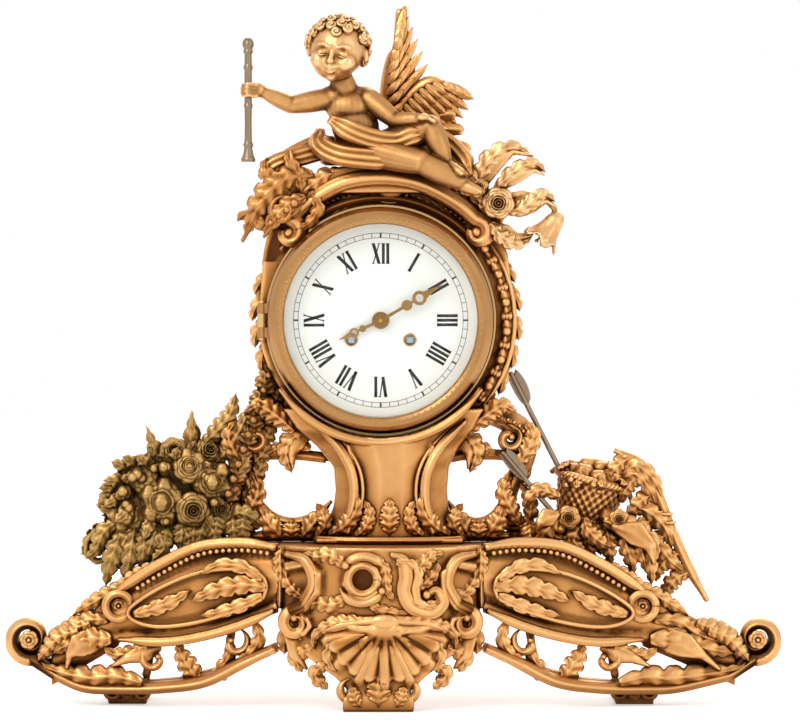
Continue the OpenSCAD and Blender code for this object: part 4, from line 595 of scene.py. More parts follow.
DIAL_AXIS = (AXIS_X, 0.0, DIAL_Z * MM)
gilt_bronze = gilt("gilt_bronze", (0.78, 0.44, 0.18), (0.50, 0.22, 0.062), (0.075, 0.024, 0.006))
# Lit and shaded copies of the same gilt bronze: the pale one is painted light, the deep, olive and
# brown ones painted shade; the olive one also has patches of patina
gilt_painted_light = gilt("gilt_painted_light", (0.86, 0.56, 0.28), (0.58, 0.30, 0.11), (0.12, 0.045, 0.012), 0.28)
gilt_painted_shade = gilt("gilt_painted_shade", (0.60, 0.29, 0.10), (0.34, 0.14, 0.036), (0.05, 0.016, 0.004), 0.33)
gilt_olive_painted_shade = gilt("gilt_olive_painted_shade", (0.66, 0.41, 0.15), (0.34, 0.18, 0.054), (0.03, 0.013, 0.004),
                  0.36, (0.20, 0.125, 0.036))
gilt_brown_painted_shade = gilt("gilt_brown_painted_shade", (0.46, 0.24, 0.085), (0.20, 0.09, 0.026),
                  (0.025, 0.010, 0.003), 0.36)
bezel_gilt = metal("bezel_gilt", (0.46, 0.24, 0.09), (0.30, 0.14, 0.046), 0.28, 0.1, DIAL_AXIS)
drum_brass = metal("drum_brass", (0.62, 0.42, 0.18), (0.40, 0.24, 0.085), 0.32, 0.5)
turned_brass = metal("turned_brass", (0.70, 0.48, 0.21), (0.48, 0.29, 0.11), 0.26, 0.15,
                     DIAL_AXIS)
movement_brass = metal("movement_brass", (0.72, 0.51, 0.23), (0.50, 0.32, 0.12), 0.25, 0.4)
polished_steel = metal("polished_steel", (0.48, 0.49, 0.52), (0.28, 0.29, 0.32), 0.22, 0.3)
blued_steel = metal("blued_steel", (0.16, 0.18, 0.27), (0.07, 0.08, 0.13), 0.2, 0.2)
bell_metal = metal("bell_metal", (0.66, 0.58, 0.42), (0.46, 0.38, 0.24), 0.16, 0.3, DIAL_AXIS)
hand_gilt = metal("hand_gilt", (0.40, 0.22, 0.08), (0.22, 0.11, 0.035), 0.25, 0.1)
worn_staff = metal("worn_staff", (0.30, 0.225, 0.15), (0.16, 0.11, 0.07), 0.4, 0.3)


def enamel_material():
    material, tree, shader = new_material("white_enamel", Roughness=0.16, Coat_Weight=0.6,
                                          Coat_Roughness=0.05)
    place = tree.place()
    soft = tree.noise(place, 30.0, 4.0)
    white = tree.ramp(soft, (0.3, (0.90, 0.89, 0.86)), (0.7, (0.96, 0.955, 0.94)))
    specks = tree.ramp(tree.noise(place, 900.0, 2.0), (0.20, 0.75), (0.27, 1.0))
    tree.set(shader.inputs["Base Color"], tree.blend(1.0, white, specks, "MULTIPLY"))
    tree.set(shader.inputs["Normal"], tree.bump(soft, 0.12, 0.0004))
    return material


def black_enamel_material():
    material, tree, shader = new_material("black_enamel", Roughness=0.3)
    soft = tree.noise(tree.place(), 300.0, 4.0)
    tree.set(shader.inputs["Base Color"], tree.ramp(soft, (0.3, (0.012, 0.012, 0.016)),
                                             (0.75, (0.035, 0.034, 0.04))))
    return material


white_enamel = enamel_material()
black_enamel = black_enamel_material()
clock_glass = new_material("clock_glass", Base_Color=(0.97, 0.99, 0.98, 1), Roughness=0.02,
                           Transmission_Weight=1.0, IOR=1.08)[0]

NODE_MATERIALS = {
    polished_steel: "cannon_pinion going_arbor strike_arbor pallets hammer base_bolts "
                    "surround_bolts pendulum fly",
    blued_steel: "going_spring strike_spring strap_screws clicks",
    bezel_gilt: "bezel",
    turned_brass: "sight_ring front_ring rear_ring rear_door",
    drum_brass: "case_drum case_straps",
    bell_metal: "bell",
    hand_gilt: "minute_hand hour_hand hand_collet",
    clock_glass: "bezel_glass",
    white_enamel: "dial",
}
chosen = {name: material for material, names in NODE_MATERIALS.items()
          for name in names.split()}
for name, obj in nodes.items():
    obj.data.materials.clear()
    obj.data.materials.append(chosen.get(name, movement_brass))


# The base
BOW_R, BOW_FRONT = 75.0, 42.0
BOW_SKIN = 1.5


def bow(x):
    """Depth of the bowed front at x."""
    return BOW_R - BOW_FRONT - np.sqrt(np.maximum(BOW_R ** 2 - np.asarray(x, float) ** 2, 1))


def on_bow(lift, side=1, mid=0):
    """Lays points of x and z on the bowed front, or a little in front of it."""
    return lambda x, z: (mid + side * x, float(bow(mid + side * x)) - lift, z)


def shell_fan(shape, cx, cz, inner, outer, a0, a1, flutes, bulge, ridge):
    """A scallop shell on the bowed front: convex flutes that spread from its hinge."""
    t = np.linspace(0, 1, 22)[:, None]
    q = np.linspace(0, 1, flutes * 8 + 1)[None, :]
    a = np.radians(mix(a0, a1, q))
    wave = np.abs(np.sin(np.pi * flutes * q))
    rad = mix(inner, outer * (0.93 + 0.07 * wave), t)
    x, z = cx + rad * np.cos(a), cz + rad * np.sin(a)
    h = bulge * np.sin(np.pi * t * 0.9) + ridge * wave ** 0.7 * (0.25 + t)
    front = np.stack([x, bow(x) - h, z], -1)
    shape.sheet(front, front + arr(0, 2.6, 0))


def painted_shade_patches(p, *rows):
    return sum(painted_shade_patch(p, *row) for row in rows)


def build_base_centre():
    s = shell_of("base_centre", 0.9, 16)
    # Shell that spreads from under the lip
    shell_fan(s, 2, 45, 6, 31, 197, 343, 9, 1.6, 1.6)
    shell_fan(s, 2, 43, 4, 16, 205, 335, 7, 2.4, 0.9)
    # Deep band under a rolled lip, with leaves that turn over its ends
    band = placed(on_bow(0.4), (-29, 35.5), (-15, 38.8), (3, 39.8), (21, 38.8), (34, 35.5))
    sweep(s, smooth_path(band, 50), (2.0, 0.35), (2.0, 0.5))
    lip = placed(on_bow(0.0), (-33, 39), (-18, 44.5), (3, 46), (24, 44.5), (37, 39))
    sweep(s, smooth_path(lip, 50), (3.2, 0.35), (3.7, 0.5))
    ball(s, (2, bow(2) - 1.5, 45.5), (8.0, 2.5, 4.2), 14, 22)
    for side in (-1, 1):
        leaves(s, ((5, 7, (8, 46), (17, 46), (27, 44), (35, 38), (36, 31)),),
               on_bow(2.9, side, 2), cup=0.4, roll=0.2, thick=2.6)
        leaves(s, ((5, 4, (17, 36), (25, 34), (28, 27), (24, 20)),),
               on_bow(1.4, side, 2), cup=0.35, roll=0.2)
    # Hollow boss in its scrolled frame, and the S-scroll beside it
    y = float(bow(-9))
    sweep(s, spiral(-9, 67, y - 0.5, 7.4, 7.4, 0, 360, 40), 2.4, 3.1)
    for start, turn in ((200, 130), (20, 120)):
        c_scroll(s, -9, 67, y - 0.8, 12.2, start, turn, 2.6, 3.2, 0.92)
    scroll = smooth_path(placed(on_bow(0.4), (5, 80), (11, 77), (13, 69), (12, 61), (16, 53),
                                (25, 50), (31, 55), (28, 61), (23, 59)), 60)
    sweep(s, scroll, (4.2, 0.3, 0.35), (3.7, 0.4, 0.5))
    ball(s, scroll[-1], 2.6)
    leaves(s, ((5.5, 5, (14, 68), (20, 74), (27, 79), (33, 79)),
               (5, 5, (40, 58), (45, 62), (48, 68), (47, 76)),
               (5, 5, (-40, 58), (-45, 62), (-48, 68), (-47, 76)),
               (4.5, 4, (17, 62), (23, 66), (28, 71), (29, 76)),
               (5, 4, (31, 58), (38, 58), (44, 54), (46, 46)),
               (5.5, 5, (-17, 74), (-25, 79), (-33, 78), (-40, 80)),
               (6, 5, (-17, 58), (-24, 54), (-33, 55), (-42, 51)),
               (4, 4, (-6, 57), (-1, 52), (8, 50), (15, 50)),
               (4.5, 5, (-3, 79), (2, 72), (3, 63), (7, 56))), on_bow(1.6), cup=0.35)
    # Leaves that turn over the S-scroll
    leaves(s, ((4, 4, (8, 76), (14, 75), (19, 70), (20, 63)),
               (3.8, 4, (13, 57), (20, 53), (27, 54), (33, 58))), on_bow(3.4), cup=0.2, thick=1.0)
    for side in (-1, 1):
        # Side scrolls with leaf drops below them
        fall = placed(on_bow(1.5, side), (48, 79), (38, 76), (34, 65), (39, 54))
        eye = spiral(side * 43, 44, float(bow(43)) - 1, 7, 3, 90, 90 - side * 380, 36)
        path = np.vstack([smooth_path(fall, 26), eye[2:]])
        sweep(s, path, (3.2, 0.5, 0.4), (3.8, 0.7, 0.5))
        ball(s, path[-1], 2.6)
        leaves(s, ((6, 4, (38, 38), (48, 36), (49, 27)), (5.5, 4, (34, 32), (43, 27), (40, 19)),
                   (4.8, 4, (28, 24), (33, 18), (27, 11))), on_bow(0.6, side), cup=0.35, roll=0.25)
        # Scrolls that hold the foot
        c_scroll(s, side * 14 - 1, 10, -40.0, 6.5, 90, -side * 300, 2.2, 2.6)
    leaf(s, [(-1, -42.8, 2.5), (-1, -43.8, 8), (-1, -43.4, 14), (-1, -42.4, 19)], 8, 4, cup=0.2)
    for x in (-10, 8):
        leaf(s, [(x, -43.2, 2.5), (x * 1.3, -44, 7), (x * 1.5, -43.2, 13)], 5.0, 4, cup=0.3)
    # Moulding over the joints with the arms
    for side in (-1, 1):
        place = stand(0, side)
        y = float(bow(50))
        strip = placed(place, *((51.2, y + 0.5, z) for z in (81, 76, 66, 56, 51)))
        sweep(s, smooth_path(strip, 24), (1.8, 0.6), 3.0)
        leaves(s, ((5, 5, (50.6, y - 1, 83), (51, y - 3, 77), (50.6, y - 3, 68),
                    (50, y - 1.5, 60)),), place, cup=0.35)

    # Painted shade in the hollow boss, the recess beside it, the band under the lip and round the
    # scrolls, and painted light on the foot and the lip; only on the front skin
    def shade(p):
        return (p[:, 1] < bow(p[:, 0]) + BOW_SKIN) * painted_shade_patches(
            p, (-9, -37, 67, 6, 8, 6, 0.45), (-39, -28, 58, 8, 12, 8, 0.22),
            (3, -39, 35, 34, 9, 4.5, 0.28), (24, -35, 64, 7, 6, 6, 0.2),
            (40, -28, 40, 9, 9, 7, 0.15), (0, -40, 4, 30, 30, 8, -0.12),
            (2, -45, 45, 26, 3.5, 4, -0.15))

    s.piece("base_centre_cast", "gilt_bronze", gilt_bronze, ["base_centre"], shade)


VOLUTE_R, VOLUTE_Z, PANEL_END = 14.6, 33.0, 138.0
ARM_ROOT, ARM_TIP_Y = 52, 8.0


def build_arm(side, reach, name):
    """One arm of the base: the same form on both sides, with its own reach."""
    s = shell_of(name)
    vx = reach - VOLUTE_R

    def deep(x):
        return mix(float(bow(ARM_ROOT)), ARM_TIP_Y, (x - ARM_ROOT) / (reach - ARM_ROOT))

    def put(lift, *points):
        return [(side * x, deep(x) - lift, z) for x, z in points]

    def lay(*rows):
        for lift, cup, thick, half, lobes, *points in rows:
            leaf(s, put(lift, *points), half, lobes, cup=cup, thick=thick)

    # Gadrooned upper border
    top = put(3, (53, 82), (70, 84), (92, 82), (112, 73), (128, 63), (138, 56))
    sweep(s, smooth_path(top, 60), (3.0, 0.6, 0.5), 2.4)
    edge = put(5, (56, 79), (72, 80.5), (92, 78), (110, 69), (126, 59))
    beads(s, smooth_path(edge, 50), 1.25, 3.3, 0.8)
    low = put(3.4, (54, 50), (72, 42), (92, 36), (112, 33), (134, 34))
    sweep(s, smooth_path(low, 60), (2.6, 0.6, 0.4), 2.6)
    # Inner line of the panel
    inner = put(6.4, (60, 56), (76, 49), (96, 43), (114, 41), (126, 44), (128, 50), (112, 61),
                (92, 69), (72, 71), (61, 68), (58, 62), (60, 56))
    sweep(s, smooth_path(inner, 90), 1.1, 1.0, ROUND)
    # Foliage that spreads over the panel from its root
    lay((7.6, 0.25, 2.4, 6.5, 5, (58, 62), (70, 63), (84, 60), (97, 54)),
        (7.6, 0.25, 2.4, 4.5, 4, (60, 66), (70, 72), (82, 73), (92, 68)),
        (7.6, 0.25, 2.4, 4.5, 4, (60, 58), (70, 53), (82, 49), (92, 47)),
        (7.6, 0.25, 2.4, 5, 4, (126, 47), (116, 50), (106, 54), (97, 60)))
    # Long rail with its volute
    rail = put(0, (53, 31), (70, 23), (90, 13), (112, 9.5), (134, 8.6), (152, 9.2), (vx - 14, 15))
    volute = spiral(side * vx, VOLUTE_Z, deep(vx) + 1, 11.2, 4.0, 90 - side * 200,
                    90 + side * 250, 60)
    sweep(s, np.vstack([smooth_path(rail, 70), volute[1:]]),
          (3.3, 0.7, 0.5, 0.1, 0.6), (7.5, 0.8, 0.6, 0.1, 0.6))
    flower(s, (side * vx, deep(vx) - 6.5, VOLUTE_Z), 5.0, rings=ROSETTE)
    # Leaves that wrap the rail and run down the slope to the volute
    lay((7, 0.5, 2.2, 7.5, 6, (122, 12), (136, 15), (150, 14), (vx - 12, 18), (vx - 6, 22)),
        (6, 0.4, 2.2, 8, 5, (138, 34), (150, 34), (162, 30), (vx - 12, 26)),
        (4, 0.4, 2.2, 6, 5, (140, 44), (152, 43), (163, 36), (vx - 13, 30)),
        (5, 0.5, 3.0, 6.5, 6, (reach - 46, 42), (reach - 38, 39), (reach - 29, 34),
         (reach - 22, 27)),
        (6.5, 0.5, 3.0, 6.5, 6, (reach - 40, 38), (reach - 31, 35), (reach - 24, 28),
         (reach - 19, 22)),
        (3, 0.4, 2.4, 5.5, 6, (127, 63), (137, 58), (148, 52), (158, 46)),
        (3, 0.4, 2.4, 4.5, 6, (112, 73), (121, 69), (130, 64), (138, 58)))
    # Ring rosette at the end of the panel
    x, y = side * (PANEL_END - 4), deep(PANEL_END)
    sweep(s, spiral(x, 51, y - 4.6, 6.6, 6.6, 0, 360, 36), 2.2, 2.6)
    flower(s, (x, y - 4, 51), 4.6, rings=ROSETTE)
    # C-scrolls in the opening above the rail, and leaves that tie the rail to the panel
    c_scroll(s, side * 74, 33, deep(74) - 1, 7.5, 90 + side * 10, side * 290, 2.0, 3.0)
    c_scroll(s, side * 116, 24, deep(116) - 1, 7.0, 90 - side * 10, -side * 290, 2.0, 3.0)
    lay((3, 0.3, 1.3, 4.5, 4, (64, 44), (62, 36), (66, 28), (74, 24)),
        (4, 0.3, 1.3, 5, 4, (120, 31), (128, 27), (136, 26), (142, 30)),
        (1, 0.3, 1.3, 6.5, 5, (92, 10), (96, 17), (101, 25), (104, 33)),
        (1, 0.3, 1.3, 4.5, 4, (88, 14), (82, 19), (77, 26), (75, 34)))
    # Scrolled side foot
    for x, turn in ((123, 300), (137, -300)):
        c_scroll(s, side * x, 6.5, deep(132) + 3, 4.6, 90, side * turn, 1.9, 3.0)
    lay((-2, 0.2, 1.3, 5, 3, (130, 2), (130, 6), (130, 12)))
    # Painted light: the right arm is lighter all over, and both volutes lighter
    right_arm_painted_light = 0.09 if side > 0 else 0.0

    def shade(p):
        return painted_shade_patch(p, side * (reach - 12), -10, 36, 17, 60, 18, -0.15) - right_arm_painted_light

    s.piece(name + "_cast", "gilt_bronze", gilt_bronze, [name], shade)


# The waist
def build_waist():
    s = shell_of("waist", 0.9, 24)
    mid = 4.5
    # Curved floor of the saddle, close under the bezel
    sweep(s, rim(61.4, 214, 326, -6.0, 70), 1.9, 10.0, ROUND)
    s.tube(np.stack([rim(r, 214, 326, y, 70)
                     for r, y in ((59.9, -9), (61.6, -9), (61.6, 22), (59.9, 22))], 1))
    sweep(s, rim(62.0, 214, 326, -15.0, 70), (2.2, 0.4), 2.2)
    for side in (-1, 1):
        # Raised border of the plain panel, and leaves that spread at its foot
        place = stand(0, side, mid)
        border = smooth_path(placed(place, (26, -10, 90), (20, -14, 98), (18, -15.5, 110),
                                    (20, -15, 122), (27, -12, 134), (39, -7, 146)), 50)
        sweep(s, border, (2.6, 0.5), (3.0, 0.6))
        sweep(s, border + arr(-side * 4.4, -0.4, 0), (1.0, 0.4), 1.2, ROUND)
        leaves(s, ((6, 6, (31, -8, 87), (23, -15, 92), (17, -17.5, 101), (18, -17, 112)),
                   (4.5, 5, (17, -15, 87), (12, -18, 92), (10, -18, 99), (13, -17, 106)),
                   (5, 5, (37, -5, 86), (33, -9, 92), (34, -9, 98), (38, -4, 104))),
               place, cup=0.35, roll=0.15)
        # Foliage on a low roll that rounds off the foot of the side window
        near, far = (35 if side > 0 else 26), 64

        def across(share, y, z):
            return (side * mix(near, far, share), y, z)

        roll = placed(across, (-0.05, 4, 86), (0.5, 3, 86.5), (1.05, 5, 86))
        sweep(s, smooth_path(roll, 30), (3.0, 0.7), 3.6)
        edge = placed(across, (-0.02, 4, 104), (0.17, 3, 97), (0.5, 2, 93.5), (0.8, 3, 97),
                      (1, 5, 106))
        sweep(s, smooth_path(edge, 40), (2.2, 0.4), (3.0, 0.5))
        leaves(s, ((7, 4, (0.42, 1, 84), (0.30, -2, 89), (0.16, -2, 95), (0.02, 1, 101)),
                   (6, 4, (0.52, 0, 84), (0.52, -3, 88), (0.52, -3, 92), (0.52, 0, 96)),
                   (7, 4, (0.62, 1, 84), (0.74, -2, 89), (0.87, -2, 95), (0.97, 1, 102))),
               across, cup=0.3, thick=2.0)
    leaf(s, [(mid, -16, 87), (mid, -19, 93), (mid, -19, 100), (mid, -17.5, 107)], 6.5, 5, cup=0.3)
    # Brackets with their scrolls
    for side, sx in ((-1, 0), (1, 2)):
        path = smooth_path([(side * 46 + sx, 9, 148), (side * 60 + sx, 9, 147),
                            (side * 70 + sx, 9, 142), (side * 74.5 + sx * 0.5, 9, 132),
                            (side * 73, 9, 122), (side * 67, 9, 112), (side * 65, 10, 102),
                            (side * 69, 11, 93)], 64)
        sweep(s, path, (4.8, 0.8), (6.8, 0.8))
        beads(s, path[10:34] + arr(0, -7.0, 0), 1.2, 3.4)
        c_scroll(s, side * 64 + sx, 136, 4, 7.5, 100, -side * 420, 2.4, 3.6, 0.2)
        tie = [(side * 31 + 3, 8, 126), (side * 48, 8, 128), (side * 70, 8, 127)]
        sweep(s, smooth_path(tie, 26), 2.8, 3.0)
        leaves(s, ((7, 6, (44, 0, 140), (53, -2, 148), (62, -3, 153), (70, -1, 149)),
                   (5, 5, (36, 2, 131), (44, 3, 134), (53, 3, 131), (60, 3, 127)),
                   (7, 6, (35, 1, 141), (44, 0.5, 137), (48.5, 0.5, 129), (45.5, 1.5, 118)),
                   (6, 5, (70, 1, 122), (75, -1, 130), (78, -1, 138), (74, 0, 146)),
                   (6, 6, (72, 3, 92), (67, 0, 100), (63, 0, 110), (67, 1, 120)),
                   (5, 5, (74, 5, 90), (77, 2, 99), (75, 2, 108), (71, 3, 114))),
               stand(0, side), cup=0.35, roll=0.15)
        sweep(s, ring_round(side * 69, 18, 89.6, 5.4, 24), 1.4, 1.4, ROUND, UP)
    # Foot moulding
    foot = [(-33, 0, 85), (-30, -10, 85), (-14, -16.5, 85), (4.5, -17.5, 85), (23, -16.5, 85),
            (39, -10, 85), (42, 0, 85)]
    sweep(s, smooth_path(foot, 60), 2.0, 2.0)

    # Painted shade on the left bracket and in a band under the bezel, and painted light on the
    # plain panel
    def shade(p):
        return painted_shade_patches(p, (-66, 0, 128, 14, 30, 28, 0.25), (5, -16, 124, 16, 9, 26, -0.08),
                       (5, -6, 138, 60, 8, 5, 0.12))

    s.piece("waist_cast", "gilt_bronze", gilt_bronze, ["waist"], shade)


# Round the dial
def ray(degrees):
    a = math.radians(degrees)
    return arr(math.cos(a), 0, math.sin(a))


def build_surround():
    s = shell_of("dial_surround")
    z = DIAL_Z
    rise = smooth_path(placed(stand(z), (-47, -2, 52), (-36, -3, 61), (-20, -4, 70),
                              (0, -4.5, 73), (20, -4, 70), (38, -3, 61), (49, -2, 52)), 60)
    arch = np.vstack([spiral(-47, z + 45, -2, 3, 7, -200, 90, 26), rise[1:-1],
                      spiral(49, z + 45, -2, 7, 3, 90, -200, 26)])
    sweep(s, arch, (4.6, 0.5), (5.4, 0.6))
    for x in (-47, 49):
        ball(s, (x, -3, z + 45), (3.0, 3.6, 3.0))
    sweep(s, rim(62.6, 38, 142, -0.5, 60), 1.9, 2.4)
    beads(s, rim(66, 48, 132, 0.5, 50), 1.0, 3.0)
    # Oval boss and trellis of the recessed panel
    ball(s, (5, -0.5, z + 65.5), (6.4, 3.0, 4.0), 10, 18)
    a = np.linspace(0, FULL_TURN, 30)
    oval = np.column_stack([5 + 8.6 * np.cos(a), np.full(30, 0.2), z + 65.5 + 5.6 * np.sin(a)])
    sweep(s, oval, 1.1, 1.6, ROUND)
    for side in (-1, 1):
        leaves(s, ((4.2, 5, (10, 0, 65), (18, -1, 63), (26, -0.5, 57), (33, 0, 49)),),
               stand(z, side, 5), cup=0.2)
    # Husks and beads down the right side
    for i in range(12):
        a = -38 + i * 6.6
        p = rim_point(64.4, a, 0)
        if i % 2:
            ball(s, (p[0], -2.0, p[2]), 2.4)
            continue
        for lean in (-1, 0, 1):
            off, along = ray(a) * lean, ray(a + 90)
            leaf(s, [p - along * 3 + off * 0.6, p + arr(0, -2.6, 0) + off * 1.6,
                     p + along * 3.4 + off * 2.4], 1.5, 0, cup=0.3, n=9, m=7, thick=1.8)
    sweep(s, rim(68.3, -40, 44, 1.0, 60), (1.5, 0.4), 2.0, ROUND)
    sweep(s, rim(60.9, 150, 224, 2.4, 60), (1.7, 0.4), 2.4)
    # Scalloped leaf edges
    for i in range(7):
        for start, arc in ((150, ((57.5, -7, 5), (62, -3, 3.4), (65, 2, 3.6), (66, 7, 5))),
                           (-38, ((62, 7, 4), (67, 3, 2.6), (70.4, -2, 3), (71.6, -7, 4.4)))):
            leaf(s, [rim_point(r, start + i * 12 + a, y) for r, a, y in arc], 4.2, 3,
                 cup=0.35, roll=0.2)
    # Foliage under the figure
    for side, x in ((-1, -18), (1, 24)):
        leaves(s, ((5.5, 5, (0, -4, 76), (10, -7, 74), (20, -7, 67), (27, -4, 60)),),
               stand(z, side, x), cup=0.35)

    # Painted shade in the arch's recessed panel, in a ring round the dial
    def shade(p):
        r = np.hypot(p[:, 0], p[:, 2] - DIAL_Z)
        recess = (p[:, 2] > DIAL_Z + 30) * (p[:, 1] > -3) * (p[:, 1] < 6)
        return 0.30 * np.exp(-((r - 66) / 5.0) ** 4) * recess

    s.piece("dial_surround_cast", "gilt_bronze", gilt_bronze, ["dial_surround"], shade)


def build_acanthus_left():
    s = shell_of("acanthus_left", 0.8)
    z = DIAL_Z
    leaves(s, ((9, 7, (-34, -7, 74), (-49, -10, 72), (-61, -11, 60), (-70, -8, 42)),
               (6, 5, (-38, -9, 63), (-46, -12, 60), (-54, -12, 52), (-60, -9, 42)),
               (6, 5, (-44, -7, 60), (-53, -9, 68), (-59, -9, 77), (-58, -6, 84)),
               (5, 4, (-40, -7, 64), (-42, -9, 74), (-47, -9, 82), (-46, -6, 87)),
               (5, 4, (-50, -8, 52), (-60, -9, 50), (-69, -8, 54), (-74, -5, 50)),
               (4.5, 4, (-36, -8, 66), (-32, -9, 58), (-36, -9, 50), (-44, -7, 46))),
           stand(z), cup=0.35, roll=0.2, thick=1.6)
    c_scroll(s, -50, z + 56, -9, 8, 40, 400, 2.0, 2.6, 0.25)
    for i in range(4):
        ball(s, (-44 - i * 4, -11, z + 60 - i * 3.3), (2.3 - i * 0.2, 2.3, 2.3 - i * 0.2))
    s.piece("acanthus_left_cast", "dark_gilt", gilt_painted_shade, ["acanthus_left"])


def build_spray_right():
    s = shell_of("flower_spray_right", 0.7, 6)
    z = DIAL_Z
    leaves(s, ((6.5, 6, (48, -7, 64), (54, -10, 80), (66, -10, 88), (78, -6, 84)),
               (5, 5, (58, -8, 66), (68, -10, 76), (78, -10, 80), (85, -6, 75)),
               (5.5, 5, (62, -7, 56), (73, -9, 58), (83, -9, 64), (90, -5, 60)),
               (5.5, 5, (56, -7, 50), (62, -9, 43), (70, -9, 40), (78, -6, 43)),
               (5, 5, (52, -7, 60), (50, -9, 70), (44, -8, 78), (37, -6, 80))),
           stand(z), cup=0.35, roll=0.2, thick=1.5)
    flower(s, (60, -10.5, z + 60), 8.5)
    flower(s, (50, -8.5, z + 68), 5.5, turn=0.5)
    # Bell flower: five petals that spread at the mouth
    lean = math.radians(38)
    down = arr(-math.sin(lean), 0, -math.cos(lean))
    side = arr(math.cos(lean), 0, -math.sin(lean))
    top = arr(86, -6, z + 47) - down * 9
    t = np.linspace(0, 1, 14)[:, None]
    q = np.linspace(0, FULL_TURN, 61)[None, :]
    rad = np.interp(t, [0, 0.15, 0.5, 0.8, 1], [1.6, 4.0, 5.6, 7.2, 9.6])
    rad = rad * (1 + 0.09 * np.cos(5 * q) * t)
    middle = top + (16.5 * t + 2.0 * np.cos(5 * q) * t ** 3)[..., None] * down
    front, back = (middle + (r * np.cos(q))[..., None] * side
                   + (r * np.sin(q))[..., None] * arr(0, 1, 0) for r in (rad, rad - 0.8))
    s.sheet(front, back)
    for i in range(3):
        a = FULL_TURN * i / 3
        foot = top + down * 4
        tip = top + down * 18 + side * 2.2 * math.cos(a) + arr(0, 2.2 * math.sin(a), 0)
        sweep(s, smooth_path([foot, (foot + tip) / 2, tip], 8), 0.5, 0.5, ROUND)
        ball(s, tip, 1.0, 6, 8)
    for i in range(4):
        a = FULL_TURN * i / 4 + 0.4
        d = side * math.cos(a) + arr(0, math.sin(a), 0)
        leaf(s, [top, top + d * 3.4 + down * 2, top + d * 5.2 + down * 6], 1.8, 0, n=9, m=7,
             out=d)
    s.piece("flower_spray_cast", "gilt_bronze", gilt_painted_light, ["flower_spray_right"])


# The figure
def capsule(shape, a, b, ra, rb, swell=0.0, n=12, m=18):
    """A limb between two points, with rounded ends and a swell in its middle."""
    a, b = np.array(a, float), np.array(b, float)
    axis = unit(b - a)
    e = unit(np.cross(axis, arr(0.31, 0.17, 0.93)))
    f = np.cross(axis, e)
    length = np.linalg.norm(b - a)
    rings = [(ra * math.sin(q), max(ra * math.cos(q), 0.05))
             for q in np.radians(np.linspace(-90, 0, 6)[:-1])]
    rings += [(length * t, mix(ra, rb, t) + swell * math.sin(math.pi * t))
              for t in np.linspace(0, 1, n)]
    rings += [(length + rb * math.sin(q), max(rb * math.cos(q), 0.05))
              for q in np.radians(np.linspace(0, 90, 6)[1:])]
    turn = np.linspace(0, FULL_TURN, m, endpoint=False)
    circle = np.cos(turn)[:, None] * e + np.sin(turn)[:, None] * f
    shape.tube(np.stack([a + axis * d + circle * r for d, r in rings]))


def limbs(shape, level, *rows):
    """A capsule for each row: its two ends over the level, its radii, and what else differs."""
    for a, b, *rest in rows:
        capsule(shape, arr(*a) + (0, 0, level), arr(*b) + (0, 0, level), *rest)


def balls(shape, level, *rows):
    """A ball for each row: its centre over the level, its radii, and its rows and columns."""
    for centre, radii, *rest in rows:
        ball(shape, arr(*centre) + (0, 0, level), radii, *rest)


HEAD = arr(-22, 0, TOP_Z + 59)
HEAD_R = 15.2
LOOK = unit(arr(-0.22, -1.0, -0.16))
CROWN = unit(arr(0.10, -0.12, 1.0) - (arr(0.10, -0.12, 1.0) @ LOOK) * LOOK)
EAR = np.cross(LOOK, CROWN)
SKULL = HEAD + CROWN * 1.2 - LOOK * 1.0


def on_head(right, up, forward):
    """A point in shares of the head's radius, along its own axes."""
    return HEAD + HEAD_R * (right * EAR + up * CROWN + forward * LOOK)


def carve_face(p):
    """Presses the eye sockets, the bridge and the mouth line into the skin."""
    for out, up, forward, reach, depth in (
            (0.35, 0.15, 0.86, 0.13, 0.045), (0.20, -0.02, 0.94, 0.10, 0.05),
            (0.35, -0.13, 0.88, 0.12, 0.045), (0.0, 0.06, 0.96, 0.16, 0.04),
            (0.0, -0.515, 0.94, 0.09, 0.03), (0.62, -0.16, 0.62, 0.2, 0.02)):
        for right in ((-out, out) if out else (0.0,)):
            far = ((p - on_head(right, up, forward)) ** 2).sum(1) / (reach * HEAD_R) ** 2
            p = p - (depth * HEAD_R * np.exp(-far))[:, None] * LOOK
    return p


def add_head(body):
    ball(body, SKULL, HEAD_R * arr(0.93, 0.97, 0.98), 26, 34)
    ball(body, on_head(0, -0.36, 0.30), HEAD_R * arr(0.74, 0.66, 0.62), 20, 26)
    for right in (-1, 1):
        ball(body, on_head(right * 0.42, -0.29, 0.59), HEAD_R * 0.36, 14, 18)
        ball(body, on_head(right * 0.98, -0.10, -0.02), HEAD_R * arr(0.10, 0.18, 0.26), 12, 14)
        brow = [on_head(right * out, up, forward) for out, up, forward in
                ((0.15, 0.235, 0.90), (0.34, 0.285, 0.84), (0.56, 0.235, 0.70))]
        for start, stop in zip(brow, brow[1:]):
            capsule(body, start, stop, HEAD_R * 0.055, HEAD_R * 0.05)
        ball(body, on_head(right * 0.36, 0.00, 0.80), HEAD_R * arr(0.155, 0.12, 0.115), 12, 16)
    # Chin, nose and lips
    ball(body, on_head(0, -0.78, 0.64), HEAD_R * 0.20, 14, 18)
    capsule(body, on_head(0, 0.06, 0.90), on_head(0, -0.20, 1.0), HEAD_R * 0.07, HEAD_R * 0.105)
    ball(body, on_head(0, -0.22, 1.02), HEAD_R * arr(0.13, 0.11, 0.10), 10, 14)
    for right in (-1, 1):
        capsule(body, on_head(0, -0.435, 1.0), on_head(right * 0.24, -0.385, 0.89),
                HEAD_R * 0.085, HEAD_R * 0.055)
        capsule(body, on_head(0, -0.60, 0.95), on_head(right * 0.18, -0.525, 0.88),
                HEAD_R * 0.095, HEAD_R * 0.05)


